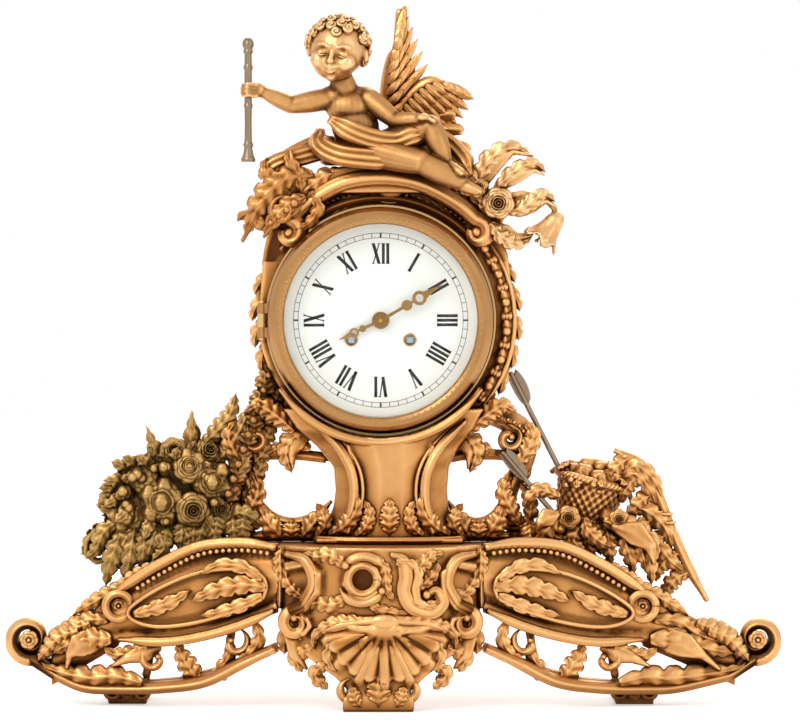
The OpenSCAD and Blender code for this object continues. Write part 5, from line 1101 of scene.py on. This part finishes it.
def add_hair(s):
    """A full cap of curls, each wound up on its own core."""
    rng = random.Random(3)
    golden = math.pi * (3 - math.sqrt(5))
    count, windings = 112, 1.6
    t = np.linspace(0, 1, 20)
    for i in range(count):
        up = 1 - 2 * (i + 0.5) / count
        a = golden * i
        d = unit(math.sqrt(1 - up * up) * (math.cos(a) * EAR + math.sin(a) * LOOK) + up * CROWN)
        face = d @ LOOK
        if up < -0.5 or (face > 0.42 and up < 0.60) or (face > 0.12 and up < 0.14):
            continue
        size = rng.uniform(0.85, 1.15)
        centre = SKULL + d * HEAD_R * 0.955
        ball(s, centre, 2.5 * size, 9, 12)
        e = unit(np.cross(d, CROWN + 0.3 * EAR))
        f = np.cross(d, e)
        turn = rng.choice((-1, 1)) * t * 2 * math.pi * windings + rng.uniform(0, 6)
        rad = mix(2.7, 0.3, t) * size
        rise = mix(0.2, 2.5, t ** 0.8) * size
        path = (centre + (rad * np.cos(turn))[:, None] * e + (rad * np.sin(turn))[:, None] * f
                + rise[:, None] * d)
        sweep(s, path, (1.05, 0.3, 0.6), (1.05, 0.3, 0.6), ROUND, d)


def build_putto():
    z = TOP_Z
    body = Shape()
    add_head(body)
    # Neck, chest, belly and seat
    limbs(body, z, ((-21, 3, 47), (-18, 5, 37), 5.6, 7.4),
          ((-25, 4, 34.5), (-8, 5, 34), 6.6, 6.6))
    balls(body, z, ((-16, 4, 30), (12.4, 9.6, 9.0), 18, 24),
          ((-13, 4, 20), (12.2, 10.6, 10.5), 18, 24),
          ((-10, 7, 11), (13.6, 11.6, 10.5), 18, 24), ((2, 7, 9), (11.5, 11, 9), 16, 22))
    # Arm that holds the staff
    limbs(body, z, ((-28, 3, 34), (-45, 0, 31), 5.7, 4.5, 0.4),
          ((-46, 0, 31), (-59, -2.6, 37), 4.4, 3.0, 0.5))
    balls(body, z, ((-62.2, -3, 38.6), (3.6, 3.4, 3.8), 12, 16))
    for i in range(4):
        a = 35.4 + i * 1.95
        x = -67.4 - 0.9 * math.sin(math.pi * (i + 0.8) / 4.4)
        limbs(body, z, ((-63.4, -5.4, a), (x, -6.6, a + 0.6), 1.15, 1.05, 0, 6, 10),
              ((x, -6.6, a + 0.6), (x - 2.9, -4.0, a), 1.05, 0.8, 0, 6, 10))
    limbs(body, z, ((-63.5, 0.6, 37), (-68.5, 1.2, 40.5), 1.2, 1.0, 0, 6, 10))
    # Arm that rests on the knee
    limbs(body, z, ((-6, 2, 34), (7, -4, 23.5), 5.6, 4.5, 0.4),
          ((8, -5, 23), (19, -12, 24), 4.2, 3.0, 0.4))
    balls(body, z, ((21.5, -13.6, 24.6), (3.8, 3.6, 2.2), 12, 16))
    for i in range(4):
        limbs(body, z, ((22.5, -15 + i * 1.9, 25), (27.4, -16.4 + i * 2.0, 22.6), 1.1, 0.95,
                        0, 6, 10))
    # Legs
    limbs(body, z, ((5, 1, 10), (25, -9.5, 19.6), 9.2, 6.6, 0.6),
          ((26, -10.5, 19), (32.6, -13, 3), 5.8, 3.9, 0.9),
          ((-7, -3.6, 8.5), (20, -15.5, 2), 8.8, 6.4, 0.6),
          ((22, -16, 1), (41, -17, -8.5), 5.8, 3.9, 0.9))
    for heel, sole, out in (((33, -13, 0.5), (40.5, -19, -3.4), (1, -0.5, -0.4)),
                            ((42, -17, -10), (49.5, -20, -12.8), (1, -0.3, -0.3))):
        limbs(body, z, (heel, sole, 3.4, 2.6, 0.3))
        toe = unit(arr(*out))
        across = unit(np.cross(toe, UP))
        for i in range(5):
            p = arr(*sole) + (0, 0, z) + toe * 2.0 + across * (i - 2) * 1.15
            ball(body, p, 0.95 + (0.35 if i == 0 else 0), 7, 10)
    s = Shape(melt(body.mesh("putto_form"), 0.62, 12, carve_face))
    # Lids over lowered eyes
    q = np.linspace(-1, 1, 14)[:, None]
    for right in (-0.36, 0.36):
        lid = on_head(right, -0.05, 0.90) + HEAD_R * (
            q * 0.15 * EAR + (0.05 * q * q - 0.02) * CROWN - 0.055 * q * q * LOOK)
        sweep(s, lid, (0.30, 0.3), 0.30, ROUND, LOOK)
    add_hair(s)

    # Painted shade on the body and painted light on the head
    def shade(p):
        return 0.12 - 0.2 * np.clip((p[:, 2] - TOP_Z - 42) / 8, 0, 1)

    s.piece("putto_cast", "gilt_bronze", gilt_painted_light, ["putto"], shade)


def build_drapery():
    z = TOP_Z
    rock = Shape()
    balls(rock, z, ((-2, 12, 3), (30, 16, 6.5), 14, 26), ((-17, 13, 8), (12, 11, 9), 14, 22),
          ((20, 14, 8), (12, 11, 9), 14, 22))
    for i in range(6):
        limbs(rock, z, ((-28 + i * 8, -3, 4), (-8 + i * 8, -6.5, 5 - i * 0.4), 3.0, 2.8))

    def flat(p):
        p = p.copy()
        p[(p[:, 2] < z) & (p[:, 1] > -9.5), 2] = z
        return p

    cloth = Shape(melt(rock.mesh("seat_form"), 0.8, 8, flat))
    for wide, deep, *points in (
            (5.4, 3.2, (-26, -7, 24), (-16, -11, 18), (-4, -12, 13.5), (8, -12.5, 12),
             (17, -13, 15), (25, -9, 16)),
            (5.6, 3.6, (-31, 4, 18), (-31, -4, 11), (-22, -10, 6), (-8, -12, 4), (8, -12, 3)),
            (6.0, 3.2, (8, 11, 13), (22, 9, 16), (33, 4, 11), (41, -3, 3), (46, -9, -5)),
            (5.0, 3.4, (-26, 2, 9), (-40, -2, 5), (-53, -4, 1), (-62, -3, -6)),
            (5.4, 3.4, (-24, 8, 13), (-36, 6, 9), (-47, 4, 3), (-55, 4, -4))):
        path = smooth_path(placed(stand(z), *points), 44)
        sweep(cloth, path, (wide, 0.45, 0.3), (deep, 0.5, 0.4), FOLDED)
    cloth.piece("putto_drapery", "gilt_bronze", gilt_bronze)


def build_wings():
    s = shell_of("wings", 0.7)
    z = TOP_Z
    front = arr(0.05, -1.0, 0.05)
    # An upright wing and one folded behind the knee: ranks of feathers on a bone
    for points, wide, end, count, first, tip_at, ranks in (
            (((4, 24, 22), (3, 23, 36), (5, 22, 50), (9, 21, 62)), 3.6, 0.4, 7, 2,
             lambda t, y: arr(12.2 + 15 * t ** 1.1, y, z + 81.5 - 36 * t ** 1.15),
             ((1.0, 2.9, 22), (0.68, 2.6, 20.6), (0.40, 2.3, 19.2))),
            (((6, 24, 22), (14, 23, 34), (24, 22, 42), (33, 22, 42)), 3.8, 0.5, 9, 3,
             lambda t, y: arr(48 - 22 * t, y, z + 34 - 30 * t ** 0.8),
             ((1.0, 3.3, 22), (0.7, 3.0, 20.4), (0.42, 2.6, 19)))):
        bone = smooth_path(placed(stand(z), *points), 30)
        sweep(s, bone, (wide, 0.7, end), (3.4, 0.7, end), ROUND)
        for length, half, y in ranks:
            for i in range(count):
                t = i / (count - 1)
                root = bone[int(first + 25 * (1 - t))] + arr(0, y - 24, 0)
                tip = root + (tip_at(t, y) - root) * length
                leaf(s, [root, (root + tip) / 2 + front * 1.2, tip], half, 0, cup=0.28,
                     thick=0.9, out=front, n=16, m=9, depth=0.05, point=0.12)
    s.piece("wings_cast", "gilt_bronze", gilt_bronze, ["wings"])


# Trophies
LOOSE = {"cup": 0.35, "roll": 0.2, "thick": 1.6}


def hang_leaf(shape, x, y, y_end, top, drop, lean, half):
    """A leaf that hangs forward and down from a trophy."""
    leaf(shape, [(x, y, top), (x + lean * 0.4, y_end + 1, top - drop * 0.3),
                 (x + lean * 0.8, y_end - 1, top - drop * 0.65), (x + lean, y_end, top - drop)],
         half, 5, **LOOSE)


def build_bouquet():
    s = shell_of("bouquet_left", 0.9, 10)
    seat = ARM_SEAT
    rng = random.Random(11)
    for i, (x, y, dz, r) in enumerate((
            (-86, 0, 26, 11), (-112, -2, 16, 12), (-130, 3, 8, 10), (-98, -3, 34, 9),
            (-96, -5, 12, 10), (-122, 0, 28, 9), (-82, 2, 12, 8), (-106, 2, 42, 8),
            (-140, 6, 16, 7), (-88, 4, 42, 8))):
        face = unit(arr((x + 105) * 0.012, -1.0, dz * 0.012 - 0.2))
        bloom, share = (daisy, 0.9) if i % 3 == 2 else (flower, 0.95)
        bloom(s, (x, y, seat + dz), r * share, face, rng.uniform(0, 6))
    # Leaves that stand out all round
    centre = arr(-108, 10, seat + 20)
    for i in range(30):
        a = math.radians(-70 + i * 11.0)
        d = unit(arr(math.cos(a) * 1.25, -0.45 + 0.3 * math.sin(i * 2.1), math.sin(a)))
        root = centre + d * arr(19, 8, 12)
        tip = root + d * (13 + 6 * rng.random()) + arr(0, -2, -1)
        if tip[2] < seat - 6 and abs(tip[0] + 100) < 32:
            continue
        tip[0] = min(max(tip[0], -152), -72)
        leaf(s, [root, (root + tip) / 2 + arr(0, -2.5, 1.5), tip], 4.6 + 1.2 * rng.random(), 4,
             cup=0.3, roll=0.2, n=26)
    for x, dz in ((-97, 62), (-120, 54), (-82, 57), (-136, 34), (-146, 14), (-108, 44)):
        root = arr((x - 100) / 2, 6, seat + dz * 0.5)
        tip = arr(x, 6, seat + dz - 1)
        leaf(s, [root, (root + tip) / 2 + arr(0, -2, 0), tip], 5.2, 4, cup=0.4, n=30)
        leaf(s, [root + arr(3, 3, 0), (root + tip) / 2 + arr(3, 4, 0), tip + arr(2, 4, -5)],
             4.2, 3, cup=0.4, n=24)
    for i in range(16):
        a = rng.uniform(0, FULL_TURN)
        p = centre + arr(24 * math.cos(a), -12 - 3 * rng.random(), 14 * math.sin(a))
        ball(s, p, 1.9 + rng.random(), 8, 10)
    # Leaves that hang over the posts, lie on the arm and climb to the bracket
    leaves(s, ((6.5, 5, (-104, 2, 6), (-100, -4, 1), (-98, -5, -5), (-103, -6, -10)),
               (6, 5, (-112, 2, 4), (-113, -4, -1), (-111, -6, -8), (-117, -8, -14)),
               (6, 5, (-92, 2, 8), (-87, -4, 3), (-85, -6, -3), (-90, -8, -8)),
               (6.5, 6, (-124, 3, 2), (-131, -1, -4), (-133, -2, -13), (-139, -2, -21)),
               (6, 5, (-134, 4, 6), (-142, 2, 0), (-146, 2, -9), (-152, 2, -14)),
               (6.5, 6, (-84, 4, 20), (-76, 1, 26), (-71, -1, 36), (-73, 0, 47)),
               (6.5, 7, (-86, 4, 34), (-79, 1, 42), (-72, 0, 53), (-66, 1, 66)),
               (6, 6, (-92, 4, 44), (-84, 1, 52), (-77, 1, 61), (-74, 3, 72)),
               (6, 5, (-80, 2, 6), (-73, -2, 10), (-66, -3, 8), (-60, -2, 3))),
           stand(seat), **LOOSE)
    for i in range(11):
        hang_leaf(s, -70 - i * 6.2, 3, -4, seat + 12 - 0.10 * i * i,
                  19 + 3.5 * math.sin(i * 2.3) + 0.14 * i * i,
                  -1.0 - 0.5 * i + 3 * math.sin(i * 1.7), 6.2)
    # Rows of leaves that hang over each other behind the bouquet
    for high, count, wide, deep, low in (
            (5, 6, 22, 27.5, 19), (15, 7, 27, 29.2, 28.6), (25, 6, 25, 30.6, 30.4),
            (34, 5, 17, 31.4, 31.8), (40, 3, 8, 29.6, 32.4)):
        for k in range(count):
            a = 2 * k / (count - 1) - 1
            x, lean, curl = -108 + wide * a, 5.5 * a, 11 * a * a
            leaf(s, [(x - lean, deep - curl - 2.4, seat + high + 6),
                     (x, deep - curl, seat + high - 1),
                     (x + lean * 0.8, deep - curl + 1.2, seat + high - 8),
                     (x + lean * 1.6, low - curl, seat + high - 16)], 7.2, 5,
                 cup=0.32, out=(0.9 * a, 1, 0.15), n=30)
    for x in (-131, -138, -145):
        leaves(s, ((6.5, 5, (8, 10, 3), (1, 13, 1), (-5, 12, -5), (-9, 8, -12)),),
               stand(seat, 1, x), cup=0.3, out=(-0.3, 1, 0.3), n=28)
    s.piece("bouquet_cast", "dark_gilt", gilt_olive_painted_shade, ["bouquet_left"])


def build_climbing():
    """Foliage that climbs from the bouquet to the bracket."""
    s = Shape()
    for k in range(7):
        leaves(s, ((6.6, 6, (-84 + 4 * k, 6 - k % 2, 8 + 10 * k), (-79 + 3.4 * k, 1, 15 + 9.6 * k),
                    (-77 + 3.0 * k, -1, 23 + 9.4 * k), (-82 + 4.4 * k, 1, 31 + 9 * k)),
                   (5.8, 5, (-80 + 3.6 * k, 7, 4 + 10 * k), (-72 + 2.6 * k, 3, 8 + 9.6 * k),
                    (-66 + 2.2 * k, 2, 15 + 9.2 * k), (-64 + 1.6 * k, 3, 23 + 9 * k))),
               stand(ARM_SEAT), **LOOSE)
    for k in range(9):
        ball(s, (-78 + 2.6 * k, -2.5, ARM_SEAT + 20 + 7.6 * k), 2.4 - 0.1 * k, 8, 10)
    s.piece("bouquet_climbing", "dark_gilt", gilt_brown_painted_shade)


def build_basket():
    s = shell_of("basket_trophy_right", 0.8)
    seat = ARM_SEAT
    tilt = math.radians(14)
    foot = arr(104, 18, seat + 5)
    up = arr(math.sin(tilt), 0, math.cos(tilt))
    side = arr(math.cos(tilt), 0, -math.sin(tilt))

    def at(r, a, h):
        """A point at radius r and angle a round the basket's axis, h above its foot."""
        return (foot + (r * np.cos(a))[..., None] * side
                + (r * np.sin(a))[..., None] * arr(0, 1, 0) + np.asarray(h)[..., None] * up)

    # Woven wall
    t = np.linspace(0, 1, 40)[:, None]
    q = np.linspace(0, FULL_TURN, 193)[None, :]
    rows, stakes, wall = 8, 24, 21.6
    over = np.sign(np.sin(stakes * q)) * np.where((t * rows).astype(int) % 2 == 0, 1, -1)
    strand = np.abs(np.sin(np.pi * rows * t)) ** 0.6 * np.abs(np.sin(stakes * q)) ** 0.5
    rad = mix(13.2, 18.2, t ** 0.8) + 0.55 * over * strand
    height = wall * t * np.ones_like(q)
    s.sheet(at(rad, q, height), at(rad - 1.6, q, height))
    # Rims of two strands that twist round each other
    a = np.linspace(0, FULL_TURN, 160)
    twists, apart, share = 24, 0.9, 0.62
    for h, r, wide in ((wall, 18.6, 1.9), (1.2, 13.4, 1.5)):
        for start in (0, np.pi):
            twist = twists * a + start
            strand = at(r + apart * np.cos(twist), a, h + apart * np.sin(twist))
            sweep(s, strand, wide * share, wide * share, ROUND, up)

    def apple(p):
        """Dents at stalk and eye."""
        return 1 - 0.16 * np.exp(-(p / 0.4) ** 2) - 0.1 * np.exp(-((np.pi - p) / 0.4) ** 2)

    # Fruit and berries
    for i in range(9):
        r, h, size = (12.0, 23.5, 5.2) if i % 2 else (10.0, 25.0, 4.6)
        ball(s, at(r, FULL_TURN * i / 9, h), size, 14, 18, apple)
    for i in range(4):
        ball(s, at(5.2, FULL_TURN * i / 4 + 0.5, 28.2), 4.8, 14, 18, apple)
    rng = random.Random(5)
    for i in range(26):
        a, r = rng.uniform(0, FULL_TURN), rng.uniform(13, 20)
        p = at(r, a, 20.5 - 5 * rng.random())
        if p[1] < 12:
            ball(s, p + arr(0, -1.5, 0), 1.7, 8, 10)
    for i in range(10):
        a = FULL_TURN * i / 10 + 0.3
        root, tip = at(15.0, a, 22.5), at(23.0, a + 0.25, 17.0 + 4 * (i % 3))
        leaf(s, [root, (root + tip) / 2 + up * 2.5, tip], 4.0, 4, cup=0.3,
             out=unit(tip - foot - up * 14), roll=0.2, n=24)
    # Leaves under the basket and along the bow
    leaves(s, ((6.5, 5, (98, -3, 10), (88, -7, 5), (83, -7, -3), (90, -4, -11)),
               (7, 5, (114, -2, 6), (128, -5, 3), (139, -4, -5), (141, -1, -15)),
               (5.5, 5, (104, -3, 8), (106, -7, 2), (112, -7, -4), (120, -4, -8)),
               (5.5, 5, (118, 10, 22), (130, 4, 30), (138, 4, 22), (142, 6, 12)),
               (5, 5, (92, 0, 18), (82, -3, 22), (76, -3, 18), (73, -1, 12)),
               (6, 5, (106, 2, 6), (101, -4, 2), (99, -5, -4), (104, -8, -10)),
               (6.5, 5, (128, 8, 14), (138, 4, 10), (146, 4, 2), (150, 5, -9)),
               (6, 5, (132, 8, 2), (141, 4, -6), (149, 4, -15), (158, 6, -22)),
               (5, 5, (122, 8, 28), (131, 4, 34), (140, 4, 27), (145, 6, 16))),
           stand(seat), **LOOSE)
    for i in range(10):
        hang_leaf(s, 76 + i * 6.6, 5, -3, seat + 7 - 0.35 * i,
                  15 + 3 * math.sin(i * 2.1) + 0.20 * i * i,
                  1.0 + 0.6 * i + 3 * math.sin(i * 1.9), 5.8)
    flower(s, (96, -5.5, seat + 8), 6.5)
    flower(s, (122, -3.5, seat + 7), 5.5, turn=0.7)
    path = smooth_path(placed(stand(seat), (120, 8, 42), (133, 8, 35), (142, 8, 20),
                              (149, 8, 2), (157, 8, -16), (167, 8, -35)), 60)
    sweep(s, path, (2.6, 0.45), (2.8, 0.5))
    for p in path[8:51:7]:
        leaf(s, [p + arr(-1, -1, 2), p + arr(-8, -3, -1), p + arr(-13, -3, -7),
                 p + arr(-14, -1, -14)], 5.6, 5, **LOOSE)
    for x, y, z in (path[28], path[31]):
        sweep(s, ring_round(x, y, z, 3.2, 20), 0.8, 0.8, ROUND, UP)
    s.piece("basket_cast", "gilt_bronze", gilt_bronze, ["basket_trophy_right"])


def build_arrows():
    s = Shape()
    t = np.linspace(0, 1, 16)[:, None]
    v = np.linspace(0, 1, 6)[None, :]
    reach = 3.9 * np.sin(np.pi * np.clip(0.1 + 0.8 * t, 0, 1)) ** 0.5
    comb = 0.14 * np.sin(2 * np.pi * 8 * (t + 0.2 * v))
    for foot, lean, length in ((arr(96, 12, 24), -27, 66), (arr(93.5, 0.5, 4), -40, 50)):
        foot = foot + (0, 0, ARM_SEAT)
        a = math.radians(lean)
        run = arr(math.sin(a), 0, math.cos(a))
        capsule(s, foot + run * 1.5, foot + run * (length - 2.2), 1.35, 1.35, 0, 10, 14)
        along = length - 20 + 17 * t + 2.0 * v
        for k in range(3):
            q = FULL_TURN * k / 3
            out = unit(arr(math.cos(a), 0, -math.sin(a)) * math.cos(q) + arr(0, 1, 0) * math.sin(q))
            side_way = np.cross(run, out)
            vane = (foot + along[..., None] * run + (1.0 + reach * v)[..., None] * out
                    + (0.3 + comb)[..., None] * side_way)
            s.sheet(vane, vane - 0.6 * side_way)
    s.piece("arrows_cast", "dark_gilt", worn_staff, ["trophy_arrows"])


def middle_of(name):
    """The middle of a CAD node in x and y, and its foot and top."""
    low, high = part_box(name)
    return (((low.x + high.x) / 2 - AXIS_X) / MM, ((low.y + high.y) / 2 - SEAT_Y) / MM,
            low.z / MM, high.z / MM)


def build_staff():
    """A slim turned staff, with rings, a knob and a flared foot."""
    s = Shape()
    x, y, foot, top = middle_of("staff")
    profile = ((0, 3.5), (1.2, 3.7), (3.4, 2.7), (7, 2.0), (8.6, 2.7), (10, 1.9), (20, 1.75),
               (27, 1.9), (28, 2.5), (29, 1.9), (46, 1.9), (47.4, 2.6), (48.6, 1.9), (54, 1.8),
               (55.2, 2.7), (56.4, 2.0), (58.4, 3.0), (60.6, 2.7), (62, 1.6))
    length = profile[-1][0]
    heights = np.linspace(0, length, 150)
    radii = np.interp(heights, *zip(*profile))
    radii = np.convolve(np.pad(radii, 1, "edge"), (0.25, 0.5, 0.25), "valid")
    turn = np.linspace(0, FULL_TURN, 26, endpoint=False)
    s.tube(np.stack([np.column_stack([x + r * np.cos(turn), y + r * np.sin(turn),
                                      np.full(26, foot + h * (top - foot) / length)])
                     for h, r in zip(heights, radii)]))
    s.piece("staff_turned", "dark_gilt", worn_staff, ["staff"])


# The dial
NUMERALS = "XII I II III IIII V VI VII VIII IX X XI".split()
NUMERAL_FOOT, NUMERAL_TOP = 29.0, 39.2
TRACK_INNER, TRACK_OUTER, TRACK_LINE = 42.2, 44.6, 0.13
INK = 0.06
BEZEL_BEADS, BEAD_CIRCLE = 96, 51.6
# Each letter's width and strokes: both ends in x and in shares of the height, and the width
LETTERS = {
    "I": (2.3, ((0, 0, 0, 1, 1.5), (-0.95, 0, 0.95, 0, 0.35), (-0.95, 1, 0.95, 1, 0.35))),
    "V": (5.0, ((-1.5, 1, 0, 0, 1.6), (1.5, 1, 0, 0, 0.6), (-2.3, 1, -0.7, 1, 0.35),
                (0.7, 1, 2.3, 1, 0.35))),
    "X": (5.0, ((-1.5, 1, 1.5, 0, 1.6), (1.5, 1, -1.5, 0, 0.6), (-2.3, 0, -0.7, 0, 0.35),
                (-2.3, 1, -0.7, 1, 0.35), (0.7, 0, 2.3, 0, 0.35), (0.7, 1, 2.3, 1, 0.35))),
}


def bar(shape, a, b, width, y):
    """A flat stroke of ink between two points in x and z."""
    d = unit(b - a)
    n = np.array([-d[1], d[0]]) * width / 2
    corners = [a - n, a + n, b + n, b - n]
    shape.add([(x, h, z) for h in (y - INK, y) for x, z in corners],
              [(0, 1, 2, 3), (7, 6, 5, 4), (0, 4, 5, 1), (1, 5, 6, 2), (2, 6, 7, 3),
               (3, 7, 4, 0)])


def build_dial():
    y = (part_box("dial")[0].y - SEAT_Y) / MM
    s = Shape()
    for hour, word in enumerate(NUMERALS):
        turn = math.radians(30 * hour)
        right = np.array([math.cos(turn), -math.sin(turn)])
        up = np.array([math.sin(turn), math.cos(turn)])
        x = -sum(LETTERS[c][0] for c in word) / 2
        for c in word:
            width, strokes = LETTERS[c]
            for x0, h0, x1, h1, thick in strokes:
                ends = [right * (x + width / 2 + px) + up * mix(NUMERAL_FOOT, NUMERAL_TOP, h)
                        + (0, DIAL_Z) for px, h in ((x0, h0), (x1, h1))]
                bar(s, *ends, thick, y)
            x += width
    # Minute track
    a = np.linspace(0, FULL_TURN, 181)
    for r in (TRACK_INNER, TRACK_OUTER):
        s.tube(np.stack([np.column_stack([np.sin(a) * k, np.full(181, h), DIAL_Z + np.cos(a) * k])
                         for k, h in ((r - TRACK_LINE, y), (r - TRACK_LINE, y - INK),
                                      (r + TRACK_LINE, y - INK), (r + TRACK_LINE, y))], 1),
               close_ends=False)
    for i in range(60):
        c = np.array([math.sin(math.radians(6 * i)), math.cos(math.radians(6 * i))])
        bar(s, c * TRACK_INNER + (0, DIAL_Z), c * TRACK_OUTER + (0, DIAL_Z),
            0.9 if i % 5 == 0 else 0.3, y)
    s.piece("dial_numerals", "enamel", black_enamel)
    # Brass bushes of the winding holes
    b = Shape()
    for node in ("going_arbor", "strike_arbor"):
        cx, _, foot, top = middle_of(node)
        sweep(b, spiral(cx, (foot + top) / 2, y - 0.05, 3.1, 3.1, 0, 360, 41), 0.45, 0.35, ROUND)
    b.piece("dial_bushes", "brass", turned_brass)


def build_bezel_trim():
    """Beads on the bezel's slope."""
    s = Shape()
    front = (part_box("bezel")[0].y - SEAT_Y) / MM
    for i in range(BEZEL_BEADS):
        place = rim_point(BEAD_CIRCLE, i * 360 / BEZEL_BEADS, front + 0.55)
        ball(s, place, (1.0, 0.75, 1.0), 6, 8)
    s.piece("bezel_beads", "gilt_bezel", bezel_gilt, body="bezel")


build_base_centre()
build_arm(-1, 195.0, "base_arm_left")
build_arm(1, 208.0, "base_arm_right")
build_waist()
build_surround()
build_acanthus_left()
build_spray_right()
build_putto()
build_drapery()
build_wings()
build_climbing()
build_bouquet()
build_basket()
build_arrows()
build_staff()
build_dial()
build_bezel_trim()


# Stage, light and camera
def make_floor():
    """A pale floor that the camera sees as white, and that keeps the shadow."""
    material, tree, shader = new_material("floor_white", Base_Color=(0.86, 0.85, 0.83, 1),
                                          Roughness=0.8, Specular_IOR_Level=0.1)
    strength = tree.math("MULTIPLY", tree.seen_directly(), 0.42)
    glow = tree.add("Emission", {"Color": rgba(1.0), "Strength": strength})
    both = tree.add("AddShader", {0: shader.outputs[0], 1: glow.outputs[0]})
    tree.set(tree.end, both.outputs[0])
    half = 3.0
    mesh = bpy.data.meshes.new("floor")
    mesh.from_pydata([(-half, -half, 0), (half, -half, 0), (half, half, 0), (-half, half, 0)],
                     [], [(0, 1, 2, 3)])
    mesh.materials.append(material)
    obj = bpy.data.objects.new("floor", mesh)
    obj.location.z = -0.2 * MM
    bpy.context.scene.collection.objects.link(obj)


def make_world():
    world = bpy.data.worlds.new("studio")
    bpy.context.scene.world = world
    tree = Tree(world, "OutputWorld")
    way = tree.add("TexCoord").outputs["Generated"]
    up = tree.add("SeparateXYZ", {0: way}).outputs[2]
    sky = tree.ramp(tree.math("MULTIPLY_ADD", up, 0.5, 0.5), (0.0, (0.50, 0.48, 0.46)),
                    (0.48, (0.50, 0.48, 0.46)), (0.62, (0.74, 0.73, 0.71)), (1.0, 0.95))
    room = tree.add("Background", {"Color": sky, "Strength": 0.9})
    white = tree.add("Background", {"Color": rgba(1.0), "Strength": 1.0})
    pick = tree.add("MixShader", {0: tree.seen_directly(), 1: room.outputs[0],
                                  2: white.outputs[0]})
    tree.set(tree.end, pick.outputs[0])


def make_light(name, place, size, power, colour=(1, 1, 1)):
    data = bpy.data.lights.new(name, "AREA")
    data.shape = "RECTANGLE"
    data.size, data.size_y = size
    data.energy = power
    data.color = colour
    obj = bpy.data.objects.new(name, data)
    obj.location = place
    aim = Vector((0, 0, 0.17)) - Vector(place)
    obj.rotation_euler = aim.to_track_quat("-Z", "Y").to_euler()
    bpy.context.scene.collection.objects.link(obj)


def make_camera():
    """Looks at the clock from the front, a little above it, with a frame 0.41 m wide."""
    data = bpy.data.cameras.new("camera")
    obj = bpy.data.objects.new("camera", data)
    bpy.context.scene.collection.objects.link(obj)
    rise, far, frame_width = math.radians(2.2), 3.0, 0.4105
    target = Vector((0.0034, -0.01, 0.1750))
    obj.location = target + Vector((0, -far * math.cos(rise), far * math.sin(rise)))
    obj.rotation_mode = "QUATERNION"
    obj.rotation_quaternion = (target - obj.location).to_track_quat("-Z", "Y")
    data.sensor_width = 36.0
    data.lens = data.sensor_width * far / frame_width
    data.clip_start, data.clip_end = 0.05, 50
    bpy.context.scene.camera = obj


make_floor()
make_world()
make_light("key", (-0.75, -1.1, 1.15), (0.7, 0.7), 10, (1.0, 0.97, 0.93))
make_light("fill", (1.1, -0.9, 0.6), (0.6, 0.9), 3, (1.0, 0.98, 0.96))
make_light("back", (0.3, 1.1, 1.1), (1.0, 0.6), 6)
make_camera()
bpy.context.scene.view_settings.view_transform = "Standard"
